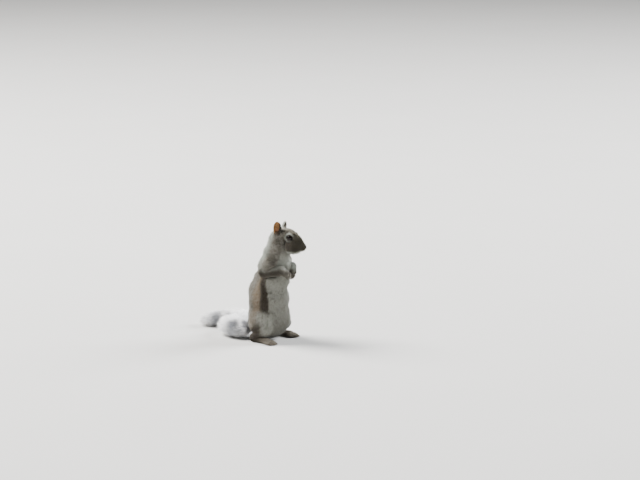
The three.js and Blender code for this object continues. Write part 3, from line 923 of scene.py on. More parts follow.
def ear_marks(p, zone):
    """Rusty inside, dark front rim and root, pale back, and the bare skin low inside."""
    rust, dark, pale, flesh = np.zeros((4, p.shape[1]), np.float32)
    for side in (-1, 1):
        local = to_ear(p, side)
        share, middle = ear_spread(local)
        across, up = local[1] / EAR_HALF_WIDTH, local[2] / EAR_HALF_HEIGHT
        mine = zone["ear"] * (share < 1.35)
        inner = ramp(local[0] - middle, -0.2, 0.6) * mine
        front = np.maximum(ramp(-across, 0.5, 0.75), 1 - ramp(up, -0.86, -0.55)) * mine
        rust = np.maximum(rust, inner * (1 - ramp(-across, 0.6, 0.82)) * ramp(up, -0.85, -0.6))
        dark = np.maximum(dark, front)
        back = (1 - ramp(local[0] - middle, -1.0, 0.2)) * mine
        rim = inner * ramp(across, 0.8, 1.0) * 0.5
        pale = np.maximum(pale, np.maximum(back * 0.75, rim) * (1 - front))
        low = (1 - ramp(share, 0.35, 0.75)) * (1 - ramp(up, -0.35, 0.2)) * inner
        flesh = np.maximum(flesh, low)
    return rust, dark, pale, flesh


def off_nose(head):
    """Distance from the bare skin of the nose, for places in the head's frame."""
    return ellipsoid(NOSE[0], np.add(NOSE[1], 0.75))(head)


def bare_skin(p, head):
    """Mask of the nose and of the lids' rims."""
    bare = (1 - ramp(off_nose(head), -0.1, 0.5)) * ramp(head[0], NOSE[0][0] - 1, NOSE[0][0] + 0.1)
    for side in (-1, 1):
        reach, past = past_lids(to_eye(p, side))
        bare = np.maximum(bare, (1 - ramp(past, 0.02, 0.14)) * (reach < EYE_RADIUS + 1.6))
    return bare


def markings(p, normal, zone):
    """Masks from 0 to 1 over the skin, by name."""
    head = to_head(p)
    trunk_pale, trunk_dark, trunk_warm = trunk_marks(p, zone)
    leg_pale, leg_dark, leg_warm = leg_marks(p, zone)
    arm_pale, arm_dark, arm_brown = arm_marks(p, normal, zone)
    head_pale, head_dark, head_brown = head_marks(head, HEAD_AXES.T @ normal, zone)
    rust, ear_dark, ear_pale, flesh = ear_marks(p, zone)
    # Painted shade in the hollow behind the cheek, on the neck.
    behind_cheek = zone["trunk"] * 0.6 * patch(head, *BEHIND_CHEEK)
    pale = (trunk_pale + leg_pale + arm_pale + head_pale) * (1 - behind_cheek)
    pale = np.maximum(pale * (1 - zone["ear"]), ear_pale)
    pale = np.maximum(pale, eye_ring(p) * zone["head"])
    dark = trunk_dark + leg_dark + arm_dark + head_dark + behind_cheek
    # Painted shade on the heel, fading towards the toes.
    dark += zone["foot"] * 0.8 * (1 - ramp(p[0], -8, 24))
    dark = np.maximum(dark * (1 - zone["ear"]), ear_dark)
    # Painted shade in the curls of the tail.
    dark += zone["tail"] * sum(patch(p, *curl_shade) for curl_shade in TAIL_CURL_SHADES)
    warm = trunk_warm + leg_warm + zone["foot"] * 0.35
    masks = {"pale": pale, "warm": warm, "dark": dark, "rust": rust, "silver": zone["tail"],
             "brown": head_brown + arm_brown, "bare": bare_skin(p, head), "flesh": flesh}
    return {name: np.clip(mask, 0, 1) for name, mask in masks.items()}


def parted_round_eyes(p, lie):
    """The lie of the coat, turned away from each eye where it would run over it, and the nearness."""
    close = np.zeros(p.shape[1], np.float32)
    for side in (-1, 1):
        local = to_eye(p, side)
        off = np.maximum(length_of(local[1:]), 1e-3)
        near = (1 - ramp(off, 6.5, 12)) * ramp(local[0], -4, -1)
        out = HEAD_AXES @ eye_axes(side) @ np.stack((np.zeros_like(off), local[1] / off, local[2] / off))
        lie = lie + 1.7 * near * out
        close = np.maximum(close, near)
    return lie, close


def off_the_eyes(p):
    """True where a point is not in front of an eye."""
    clear = np.ones(p.shape[1], bool)
    for side in (-1, 1):
        reach, past = past_lids(to_eye(p, side))
        clear &= (reach > EYE_RADIUS + 5) | (past > 0.02)
    return clear


def hairless(p, normal):
    """True where no tuft grows: the nose, the lids, the lips' edge, low in the ears and the soles."""
    head = to_head(p)
    none = (off_nose(head) < 0.1) & (head[0] > NOSE[0][0] - 0.7)
    for side in (-1, 1):
        reach, past = past_lids(to_eye(p, side))
        none |= (reach < EYE_RADIUS + 1.6) & (past < 0.06)
        none |= reach < EYE_RADIUS + 0.4
        ear = to_ear(p, side)
        share, middle = ear_spread(ear)
        none |= (share < 0.62) & (ear[2] < -1) & (ear[0] - middle > 0.2) & (ear[0] - middle < 6)
    none |= (np.abs(off_mouth(head)) < 0.6) & (head[0] > 16) & (np.abs(head[1]) < 9) & (head[0] < 34)
    none |= (p[2] < 1.0) & (normal[2] < -0.4)
    return none


# ---------------------------------------------------------------- meshes

def frame_shift():
    """Where the body frame's origin lies in the shared frame, found from the right eye."""
    low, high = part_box("eye_right")
    return (np.array(low) + np.array(high)) / 2 - from_head(flipped(EYE, -1)) * MM


SHIFT = frame_shift()


def to_scene(p):
    """Body millimetres, as columns, to metres in the shared frame, as rows."""
    return p.T * MM + SHIFT


def to_body(rows):
    """Metres in the shared frame, as rows, to body millimetres, as columns."""
    return ((rows - SHIFT) / MM).T.astype(np.float32)


def mesh_object(name, vertices, corners, sizes, material):
    """Smooth mesh from flat arrays: corners are vertex numbers, sizes the corners of each face."""
    mesh = bpy.data.meshes.new(name)
    mesh.vertices.add(len(vertices))
    mesh.vertices.foreach_set("co", np.ascontiguousarray(vertices, np.float32).ravel())
    mesh.loops.add(len(corners))
    mesh.loops.foreach_set("vertex_index", np.ascontiguousarray(corners, np.int32))
    mesh.polygons.add(len(sizes))
    starts = np.concatenate(([0], np.cumsum(sizes)[:-1]))
    mesh.polygons.foreach_set("loop_start", starts.astype(np.int32))
    mesh.update(calc_edges=True)
    mesh.validate()
    mesh.shade_smooth()
    mesh.materials.append(material)
    obj = bpy.data.objects.new(name, mesh)
    bpy.context.scene.collection.objects.link(obj)
    return obj


def set_layer(mesh, name, rows):
    """Keeps a value, or a row of three, for each vertex."""
    rows = np.ascontiguousarray(rows, np.float32)
    kind, key = ("FLOAT_VECTOR", "vector") if rows.ndim == 2 else ("FLOAT", "value")
    mesh.attributes.new(name, kind, "POINT").data.foreach_set(key, rows.ravel())


def read_rows(things, key, width, kind=np.float32):
    """One property of each vertex, corner or layer entry, as rows of a width."""
    rows = np.zeros(len(things) * width, kind)
    things.foreach_get(key, rows)
    return rows.reshape(-1, width)


def set_uv(mesh, rows):
    layer = mesh.uv_layers.new(name="OFBake")
    layer.data.foreach_set("uv", np.ascontiguousarray(rows, np.float32).ravel())


def unwrapped(vertices, quads):
    """Flat map of a surface's own shape: the places of each quad's corners."""
    piece = mesh_object("unwrap", vertices, quads.ravel(), np.full(len(quads), 4), None)
    bpy.context.view_layer.objects.active = piece
    piece.select_set(True)
    piece.data.uv_layers.new(name="OFBake")
    bpy.ops.object.mode_set(mode="EDIT")
    bpy.ops.mesh.select_all(action="SELECT")
    bpy.ops.uv.smart_project(angle_limit=math.radians(70), island_margin=0.002)
    bpy.ops.object.mode_set(mode="OBJECT")
    mesh = piece.data
    rows = read_rows(mesh.uv_layers["OFBake"].data, "uv", 2)
    bpy.data.objects.remove(piece)
    bpy.data.meshes.remove(mesh)
    return rows.reshape(-1, 4, 2)


def ring_faces(rings, sides):
    """Closed surface over rings of points, then one point before them and one after them.

    Gives the corners of its faces, their sizes, and each corner's place along and around.
    """
    root, tip, last = rings * sides, rings * sides + 1, (rings - 1) * sides
    corners, sizes, places = [], [], []
    for i in range(sides):
        j = (i + 1) % sides
        near, far = i / sides, (i + 1) / sides
        between = (near + far) / 2
        corners += [root, j, i]
        places += [(0, between), (1, far), (1, near)]
        for ring in range(1, rings):
            a = (ring - 1) * sides
            corners += [a + i, a + j, a + sides + j, a + sides + i]
            places += [(ring, near), (ring, far), (ring + 1, far), (ring + 1, near)]
        corners += [last + i, last + j, tip]
        places += [(rings, near), (rings, far), (rings + 1, between)]
        sizes += [3, *[4] * (rings - 1), 3]
    return np.array(corners), np.array(sizes), np.array(places) / (rings + 1, 1)


# ---------------------------------------------------------------- coat pieces

Piece = namedtuple("Piece", "name group slot faces segments")


def coat_pieces(p, zone):
    """Every piece of the coat, from the places and zones of the skin's faces."""
    within = {name: zone == i for i, name in enumerate(ZONES)}
    head = to_head(p)
    front = head[0] > FACE_FROM
    neck = within["trunk"] & (p[2] > NECK_HEIGHT)
    trunk = within["trunk"] & ~neck
    belly = trunk & (trunk_angle(p) < BELLY_ANGLE)
    station = tail_place(p)[0]
    pieces = [
        Piece("coat_crown", "head", "coat_head", within["head"] & ~front, 2),
        Piece("coat_neck", "trunk", "coat_back", neck, 2),
        Piece("coat_belly", "trunk", "coat_belly", belly, 2),
    ]
    for side, label in SIDES:
        mine, my_face = p[1] * side > 0, head[1] * side > 0
        arm, leg = within["arm"] | within["hand"], within["leg"] | within["foot"]
        pieces += [
            Piece(f"coat_face_{label}", "head", "coat_head", within["head"] & front & my_face, 2),
            Piece(f"coat_ear_{label}", "head", "ear", within["ear"] & my_face, 2),
            Piece(f"coat_back_{label}", "trunk", "coat_back", trunk & ~belly & mine, 2),
            Piece(f"coat_arm_{label}", "limbs", "coat_paw", arm & mine, 2),
            Piece(f"coat_leg_{label}", "limbs", "coat_back", leg & mine, 2),
        ]
    for i, (start, end) in enumerate(zip(TAIL_CUTS, TAIL_CUTS[1:])):
        length = within["tail"] & (station >= start) & (station < end)
        pieces.append(Piece(f"coat_tail_{i + 1}", "tail", "coat_tail", length, 3))
    return pieces


MAX_TRIANGLES = 200_000
PATCH = 0.003
# Corners of a tuft's section: how far across it and off the skin, in half widths.
TUFT_SECTION = ((-1, -0.3), (1, -0.3), (0, 0.62))
LEAST_LIFT, MOST_LIFT = math.radians(6), math.radians(62)
# How unlike its neighbours a tuft is: in degrees for its turn, in shares for the rest. The drifts change
# slowly over the skin, at the scales given.
TURN_DRIFT, TURN_SPREAD, TURN_SCALE = 11, 9, 3.2 * MM
LIFT_DRIFT, LIFT_SPREAD, LIFT_SCALE = 0.22, 0.2, 4.5 * MM
LENGTH_SPREAD, WIDTH_SPREAD = 0.14, 0.2
PATCH = 0.003


def drift(rows, seed, scale):
    """Smooth random numbers over space, about -1 to 1, that change over a scale in metres."""
    rng = np.random.default_rng(seed)
    total = np.zeros(len(rows))
    for _ in range(5):
        wave = rng.normal(size=3) / scale
        total += np.sin(rows @ wave + rng.uniform(0, 6.28))
    return total / 2.2


def tail_bend(root, way, length):
    """Change of a tuft's direction over its length that keeps it along the tail's curve."""
    middle = root + way * (length / 2)[:, None]
    return (2 * (tail_lie(to_body(middle)) - tail_lie(to_body(root)))).T


def skin_rows(mesh):
    """What the coat reads from the skin, by name: a row for each vertex, and the quads."""
    rows = {name: read_rows(mesh.attributes[name].data, "vector", 3)
            for name in ("lie", "style", "marks", "tones")}
    for name in ("density", "zone"):
        rows[name] = read_rows(mesh.attributes[name].data, "value", 1)[:, 0]
    rows["place"] = read_rows(mesh.vertices, "co", 3)
    rows["normal"] = read_rows(mesh.vertex_normals, "vector", 3)
    rows["quads"] = read_rows(mesh.loops, "vertex_index", 1, np.int32).reshape(-1, 4)
    return rows


def scattered(skin, own, fullness, rng):
    """Roots spread evenly over quads by the coat's density: each one's quad, and its corners' shares."""
    sides = skin["place"][own]
    area = np.linalg.norm(np.cross(sides[:, 2] - sides[:, 0], sides[:, 3] - sides[:, 1]), axis=1) / 2
    wanted = area / MM ** 2 * skin["density"][own].mean(1) * fullness
    count = int(wanted.sum())
    steps = (np.arange(count) + rng.random(count)) / count * wanted.sum()
    chosen = np.minimum(np.searchsorted(np.cumsum(wanted), steps), len(own) - 1)
    u, v = rng.random(count), rng.random(count)
    return chosen, np.stack(((1 - u) * (1 - v), u * (1 - v), u * v, (1 - u) * v), 1)


def tuft_points(root, normal, way, bend, length, half, lift, segments):
    """Points of each tuft: three to a ring between its ends, then its root and its tip."""
    rows = np.zeros((len(root), 3 * segments - 1, 3), np.float32)
    aside = np.cross(normal, way)
    sunk = half * 0.55 + 0.04 * MM
    for ring in range(segments + 1):
        t = ring / segments
        height = length * np.sin(lift) * (1.55 * t - 0.55 * t * t)
        centre = root + (way + bend * t / 2) * (length * np.cos(lift) * t)[:, None]
        centre += normal * (height - sunk)[:, None]
        if ring in (0, segments):
            rows[:, -1 if ring else -2] = centre
            continue
        for i, (across, raised) in enumerate(TUFT_SECTION):
            corner = centre + aside * (half * across)[:, None] + normal * (half * raised)[:, None]
            rows[:, 3 * ring - 3 + i] = corner
    return rows


def grow_coat(piece, skin, seed, material, sizes):
    """Tufts over the faces of the skin that belong to a piece."""
    own = skin["quads"][piece.faces]
    flat = unwrapped(*packed(skin["place"], own))
    rng = np.random.default_rng(seed)
    chosen, share = scattered(skin, own, sizes.fullness, rng)
    count = len(chosen)

    def at(name):
        return (skin[name][own[chosen]] * share[:, :, None]).sum(1)

    root, normal, way, marks, tones = [at(name) for name in ("place", "normal", "lie", "marks", "tones")]
    length, half, lift = (at("style") * (MM, MM, 1)).T
    uv = (flat[chosen] * share[:, :, None]).sum(1)
    normal /= np.linalg.norm(normal, axis=1)[:, None]
    turn = TURN_DRIFT * drift(root, seed + 1, TURN_SCALE) + TURN_SPREAD * rng.normal(size=count)
    length = length * sizes.coat_length * (1 + LENGTH_SPREAD * rng.normal(size=count).clip(-2, 1.4))
    spread = LIFT_DRIFT * drift(root, seed + 2, LIFT_SCALE) + LIFT_SPREAD * rng.normal(size=count)
    lift = np.clip(np.radians(lift * (1 + spread)), LEAST_LIFT, MOST_LIFT)
    half = half * sizes.tuft_width * (1 + WIDTH_SPREAD * rng.normal(size=count).clip(-2, 2))
    way -= normal * (way * normal).sum(1)[:, None]
    way /= np.maximum(np.linalg.norm(way, axis=1), 1e-6)[:, None]
    turn = np.radians(turn)[:, None]
    way = way * np.cos(turn) + np.cross(normal, way) * np.sin(turn)
    bend = tones[:, 1:2] * tail_bend(root, way, length)
    rows = tuft_points(root, normal, way, bend, length, half, lift, piece.segments)
    tips, middles = to_body(rows[:, -1]), to_body(rows[:, -5])
    free = (body_field(tips) > -0.9) & off_the_eyes(tips) & off_the_eyes(middles)
    rows, uv, marks, tones = rows[free], uv[free], marks[free], tones[free]
    rows[:, :, 2] = np.maximum(rows[:, :, 2], SOLE * MM)
    coat = tuft_mesh(piece, rows, uv, material)
    count, each = rows.shape[:2]
    along = np.append(np.repeat(np.arange(1, piece.segments) / piece.segments, 3), (0, 1))
    tint, other = rng.random(count), rng.random(count)
    strand = np.stack((np.tile(along, count), np.repeat(tint, each), np.repeat(other, each)), 1)
    set_layer(coat.data, "strand", strand)
    set_layer(coat.data, "marks", np.repeat(marks, each, 0))
    set_layer(coat.data, "tones", np.repeat(tones, each, 0))
    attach(coat, BODY)


def tuft_mesh(piece, rows, uv, material):
    """One mesh of all the tufts of a piece, each a small patch of its OFBake map."""
    count, each = rows.shape[:2]
    corners, face_sizes, places = ring_faces(piece.segments - 1, len(TUFT_SECTION))
    triangles = count * int((face_sizes - 2).sum())
    print(piece.name, count, "tufts", triangles, "triangles")
    if triangles >= MAX_TRIANGLES:
        raise RuntimeError(f"{piece.name} has {triangles} triangles")
    all_corners = (corners[None] + each * np.arange(count)[:, None]).ravel()
    coat = mesh_object(piece.name, rows.reshape(-1, 3), all_corners, np.tile(face_sizes, count), material)
    set_uv(coat.data, uv[:, None] + (places - 0.5)[None] * PATCH)
    return coat


def packed(vertices, quads):
    """The same quads with only the vertices that they use."""
    used, corners = np.unique(quads, return_inverse=True)
    return vertices[used], corners.reshape(-1, 4)


# ---------------------------------------------------------------- shader nodes

def linear(red, green, blue):
    """Colour given as 0 to 255 screen values, as Blender's linear colour."""
    return tuple(((c / 255 + 0.055) / 1.055) ** 2.4 if c > 10 else c / 255 / 12.92
                 for c in (red, green, blue))


def feed(tree, node, inputs):
    """Gives a node's inputs, by name or number, values or other nodes' sockets."""
    for key, value in inputs.items():
        if isinstance(value, bpy.types.NodeSocket):
            tree.links.new(value, node.inputs[key])
        else:
            node.inputs[key].default_value = value
    return node


def add_node(tree, kind, inputs=None, **settings):
    node = tree.nodes.new(kind)
    for key, value in settings.items():
        setattr(node, key, value)
    return feed(tree, node, inputs or {})


def calc(tree, operation, a, b):
    return add_node(tree, "ShaderNodeMath", {0: a, 1: b}, operation=operation).outputs[0]


def times(tree, a, b):
    return calc(tree, "MULTIPLY", a, b)


def span(tree, value, start, end, low=0.0, high=1.0):
    """Smooth change from low to high as the value goes from start to end."""
    limits = {"Value": value, "From Min": start, "From Max": end, "To Min": low, "To Max": high}
    return add_node(tree, "ShaderNodeMapRange", limits, interpolation_type="SMOOTHSTEP").outputs[0]


def mixed(tree, share, a, b, blend="MIX"):
    inputs = {0: share, 6: a, 7: b}
    return add_node(tree, "ShaderNodeMix", inputs, data_type="RGBA", blend_type=blend).outputs[2]


def shaded(tree, colour, shade):
    """Colour made lighter or darker by a number."""
    tone = add_node(tree, "ShaderNodeCombineColor", {0: shade, 1: shade, 2: shade}).outputs[0]
    return mixed(tree, 1.0, colour, tone, "MULTIPLY")


def split(tree, socket):
    return add_node(tree, "ShaderNodeSeparateXYZ", {0: socket}).outputs


def own_place(tree):
    return add_node(tree, "ShaderNodeTexCoord").outputs["Object"]


def noise(tree, place, scale, detail=2.0):
    inputs = {"Vector": place, "Scale": scale, "Detail": detail}
    return add_node(tree, "ShaderNodeTexNoise", inputs).outputs[0]


def new_group(name, inputs, outputs):
    """Node group with named sockets, what it is given, and the node that hands on what it makes."""
    group = bpy.data.node_groups.new(name, "ShaderNodeTree")
    for label, kind, default in inputs:
        socket = group.interface.new_socket(label, in_out="INPUT", socket_type=kind)
        if default is not None:
            socket.default_value = default
    for label, kind in outputs:
        group.interface.new_socket(label, in_out="OUTPUT", socket_type=kind)
    entry = group.nodes.new("NodeGroupInput")
    leave = group.nodes.new("NodeGroupOutput")
    return group, entry.outputs, leave


COLOUR, VECTOR, FLOAT = "NodeSocketColor", "NodeSocketVector", "NodeSocketFloat"
COAT_COLOURS = (
    ("back", "Back", "Grizzled grey of the back", (138, 134, 124)),
    ("back_tip", "Back tips", "Light tips of the back's hair", (198, 195, 186)),
    ("warm", "Flank", "Cinnamon of the flank", (161, 145, 124)),
    # Dark brown of the lips and the ears' front rims, and also of painted shade: the band beside the
    # belly, the thighs' wedges, the heels, under the arms, the hands, the cheeks, the neck and the lower
    # belly.
    ("dark", "Band", "Dark hair of the lips and ears, and painted shade", (61, 54, 43)),
    # Off-white of the belly, breast and chin, also used for painted highlights on the nape, the arms' tops
    # and the left wrist.
    ("pale", "Belly", "Off-white of the belly, breast and chin, and of painted highlights", (190, 194, 185)),
    ("brown", "Face", "Olive brown of the face", (73, 68, 52)),
    ("rust", "Ear", "Rusty inside of the ears", (193, 145, 96)),
    ("silver", "Tail tips", "Silver white tips of the tail's hair", (255, 255, 255)),
    ("tail", "Tail base", "Pale base of the tail's hair", (250, 250, 252)),
    ("tail_band", "Tail band", "Grey band of the tail's hair", (216, 219, 227)),
    # Painted shade in the curls of the tail.
    ("tail_dark", "Tail parting", "Slate grey of painted shade in the tail's curls", (84, 89, 100)),
)


def fur_group(colours):
    """Colour of fur from the masks of its markings and the place along a hair."""
    sockets = [(name, VECTOR, None) for name in ("Marks", "Tones", "Strand")]
    sockets += [(label, COLOUR, (*getattr(colours, key), 1)) for key, label, _, _ in COAT_COLOURS]
    group, given, out = new_group("Fur colour", sockets, [("Colour", COLOUR)])
    pale, warm, dark = split(group, given["Marks"])
    rust, silver, brown = split(group, given["Tones"])
    along, tint, other = split(group, given["Strand"])
    ticked = times(group, span(group, tint, 0.35, 0.8), span(group, along, 0.45, 0.9))
    coat = mixed(group, ticked, given["Back"], given["Back tips"])
    brownish = mixed(group, times(group, ticked, 0.22), given["Face"], given["Back tips"])
    warm_hair = mixed(group, times(group, ticked, 0.45), given["Flank"], given["Back tips"])
    for mask, colour in ((brown, brownish), (warm, warm_hair), (dark, given["Band"]),
                         (pale, given["Belly"]), (rust, given["Ear"])):
        coat = mixed(group, mask, coat, colour)
    shifted = calc(group, "ADD", along, span(group, other, 0, 1, -0.1, 0.12))
    banding = mixed(group, span(group, shifted, 0.34, 0.48), given["Tail base"], given["Tail band"])
    fringe = mixed(group, span(group, shifted, 0.5, 0.64), banding, given["Tail tips"])
    # Painted shade in the tail's curls, where the dark mask is.
    fringe = mixed(group, times(group, dark, 0.9), fringe, given["Tail parting"])
    coat = mixed(group, silver, coat, fringe)
    # Painted shade deep in the coat, partly the hair's own darker base: each hair darker towards its root,
    # less so on the tail.
    root_shade = calc(group, "ADD", times(group, silver, 0.3), 0.62)
    depth = span(group, along, 0, 0.5, root_shade, 1.0)
    shade = times(group, depth, span(group, other, 0, 1, 0.84, 1.1))
    feed(group, out, {"Colour": shaded(group, coat, shade)})


def mottle_group():
    """Uneven lightness in patches and fine grains, as on fur and bare skin."""
    defaults = {"Patch": 60.0, "Grain": 900.0, "Amount": 0.2}
    sockets = [("Colour", COLOUR, None), *((name, FLOAT, value) for name, value in defaults.items())]
    group, given, out = new_group("Mottle", sockets, [("Colour", COLOUR), ("Height", FLOAT)])
    place = own_place(group)
    patches = noise(group, place, given["Patch"])
    grain = noise(group, place, given["Grain"], 3.0)
    both = calc(group, "ADD", times(group, patches, 0.65), times(group, grain, 0.35))
    swing = times(group, calc(group, "SUBTRACT", both, 0.5), given["Amount"])
    shade = calc(group, "ADD", times(group, swing, 3.0), 1.0)
    feed(group, out, {"Colour": shaded(group, given["Colour"], shade), "Height": grain})


def group_node(tree, name, inputs):
    return add_node(tree, "ShaderNodeGroup", inputs, node_tree=bpy.data.node_groups[name]).outputs


def mottled(tree, colour, patch_scale, grain, amount):
    inputs = {"Colour": colour, "Patch": patch_scale, "Grain": grain, "Amount": amount}
    return group_node(tree, "Mottle", inputs)


def new_material(name):
    """New material, its node tree and its Principled shader."""
    material = bpy.data.materials.new(name)
    material.use_nodes = True
    tree = material.node_tree
    return material, tree, tree.nodes["Principled BSDF"]


def attribute(tree, name):
    return add_node(tree, "ShaderNodeAttribute", attribute_name=name)


def bumped(tree, height, strength, distance):
    inputs = {"Strength": strength, "Distance": distance, "Height": height}
    return add_node(tree, "ShaderNodeBump", inputs).outputs["Normal"]


def fur_nodes(tree):
    """Fur colour from a piece's own masks, and the strand that it was worked out with."""
    layers = {key.title(): attribute(tree, key).outputs["Vector"] for key in ("marks", "tones", "strand")}
    return group_node(tree, "Fur colour", layers)["Colour"], layers["Strand"]


def coat_material():
    """Fur of the tufts, duller on some hairs than on others."""
    material, tree, shader = new_material("squirrel_coat")
    colour, strand = fur_nodes(tree)
    feed(tree, shader, {
        "Base Color": mottled(tree, colour, 75.0, 700.0, 0.22)["Colour"],
        "Roughness": span(tree, split(tree, strand)[2], 0, 1, 0.62, 0.86),
        "Sheen Weight": 0.08,
        "Sheen Roughness": 0.5,
        "Specular IOR Level": 0.2,
    })
    return material


def skin_material(colours):
    """Short fur over the whole body, with bare leathery skin on the nose."""
    material, tree, shader = new_material("squirrel_skin")
    colour, _ = fur_nodes(tree)
    bare, flesh, _ = split(tree, attribute(tree, "growth").outputs["Vector"])
    mottle = mottled(tree, colour, 75.0, 1400.0, 0.3)
    inside = mixed(tree, times(tree, flesh, 0.8), mottle["Colour"], (*colours.flesh, 1))
    pebbles = add_node(tree, "ShaderNodeTexVoronoi", {"Vector": own_place(tree), "Scale": 2400.0})
    height = mixed(tree, bare, mottle["Height"], pebbles.outputs["Distance"])
    feed(tree, shader, {
        "Base Color": mixed(tree, bare, inside, (*colours.leather, 1)),
        "Roughness": span(tree, bare, 0, 1, 0.85, 0.46),
        "Specular IOR Level": 0.3,
        "Normal": bumped(tree, height, 0.5, 0.0003),
    })
    return material


def eye_material(colours):
    """Dark glossy eye: a black pupil in a deep brown iris."""
    material, tree, shader = new_material("squirrel_eye")
    off = attribute(tree, "off_axis").outputs["Fac"]
    streaks = noise(tree, own_place(tree), 1600.0, 4.0)
    iris = mixed(tree, streaks, (*colours.iris, 1), (*(c * 0.45 for c in colours.iris), 1))
    inner = mixed(tree, span(tree, off, 0.42, 0.52), (*colours.pupil, 1), iris)
    feed(tree, shader, {
        "Base Color": mixed(tree, span(tree, off, 0.72, 0.86), inner, (*colours.pupil, 1)),
        "Roughness": span(tree, streaks, 0.3, 0.7, 0.03, 0.07),
        "IOR": 1.34,
    })
    return material


def horn_material(name, root_colour, tip_colour, roughness):
    """Horn that darkens or pales from its root to its tip, with fine growth lines."""
    material, tree, shader = new_material(name)
    along = attribute(tree, "along").outputs["Fac"]
    lines = noise(tree, own_place(tree), 2600.0)
    blend = mixed(tree, span(tree, along, 0.25, 0.95), (*root_colour, 1), (*tip_colour, 1))
    feed(tree, shader, {
        "Base Color": mottled(tree, blend, 700.0, 3000.0, 0.3)["Colour"],
        "Roughness": span(tree, lines, 0.3, 0.7, roughness, roughness + 0.15),
        "Normal": bumped(tree, lines, 0.25, 0.0001),
    })
    return material


def floor_material():
    material, tree, shader = new_material("studio_floor")
    grain = noise(tree, own_place(tree), 3.0, 3.0)
    feed(tree, shader, {
        "Base Color": mixed(tree, grain, (*linear(205, 204, 202), 1), (*linear(210, 209, 207), 1)),
        "Roughness": 0.85,
    })
    return material


# ---------------------------------------------------------------- settings

def share_property(name, description, low, high):
    return bpy.props.FloatProperty(
        name=name, description=description, default=1.0, min=low, max=high, subtype="FACTOR")


def length_property(name, description, default, low, high):
    return bpy.props.FloatProperty(
        name=name, description=description, default=default, min=low, max=high, unit="LENGTH", precision=5)


class SquirrelSizes(bpy.types.PropertyGroup):
    """Sizes of the coat and of the small pieces"""
    coat_length: share_property("Coat length", "Length of every tuft, as a share of its own", 0.3, 2.0)
    tuft_width: share_property("Tuft width", "Width of every tuft, as a share of its own", 0.3, 2.0)
    fullness: share_property("Fullness", "Number of tufts, as a share of the usual", 0.05, 1.1)
    eye_radius: length_property("Eye radius", "Radius of each eyeball", EYE_RADIUS * MM, 0.003, 0.008)
    claw_radius: length_property(
        "Claw radius", "Radius of a claw at its root", CLAW_RADIUS * MM, 0.0003, 0.002)
    whisker_length: length_property("Whisker length", "Length of the longest whisker", 0.042, 0.01, 0.06)
    whisker_radius: length_property(
        "Whisker radius", "Radius of a whisker at its root", 0.00014, 0.00005, 0.0005)


def colour_property(name, description, screen_values):
    return bpy.props.FloatVectorProperty(
        name=name, description=description, default=linear(*screen_values), subtype="COLOR",
        min=0.0, max=1.0)


class SquirrelColours(bpy.types.PropertyGroup):
    """Colours of the coat, the eyes, the bare skin and the horn"""
    __annotations__ = {key: colour_property(*rest) for key, *rest in COAT_COLOURS}
    __annotations__ |= {
        "leather": colour_property("Nose", "Bare skin of the nose and the lids", (36, 30, 26)),
        "flesh": colour_property("Ear skin", "Thinly haired skin low inside the ears", (146, 92, 80)),
        "iris": colour_property("Iris", "Deep brown of the iris", (34, 21, 14)),
        "pupil": colour_property("Pupil", "Near black of the pupil", (9, 7, 7)),
        "horn": colour_property("Claws", "Root of the claws", (92, 78, 66)),
        "horn_tip": colour_property("Claw tips", "Tip of the claws", (40, 32, 28)),
        "whisker": colour_property("Whiskers", "Near black of the whiskers", (22, 18, 16)),
    }


def settings():
    scene = bpy.context.scene
    return scene.squirrel_sizes, scene.squirrel_colours


# ---------------------------------------------------------------- operators

FLESH = sorted(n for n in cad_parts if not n.startswith(("eye_", "claw_")))
CLAW_NODES = sorted(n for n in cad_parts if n.startswith("claw_"))


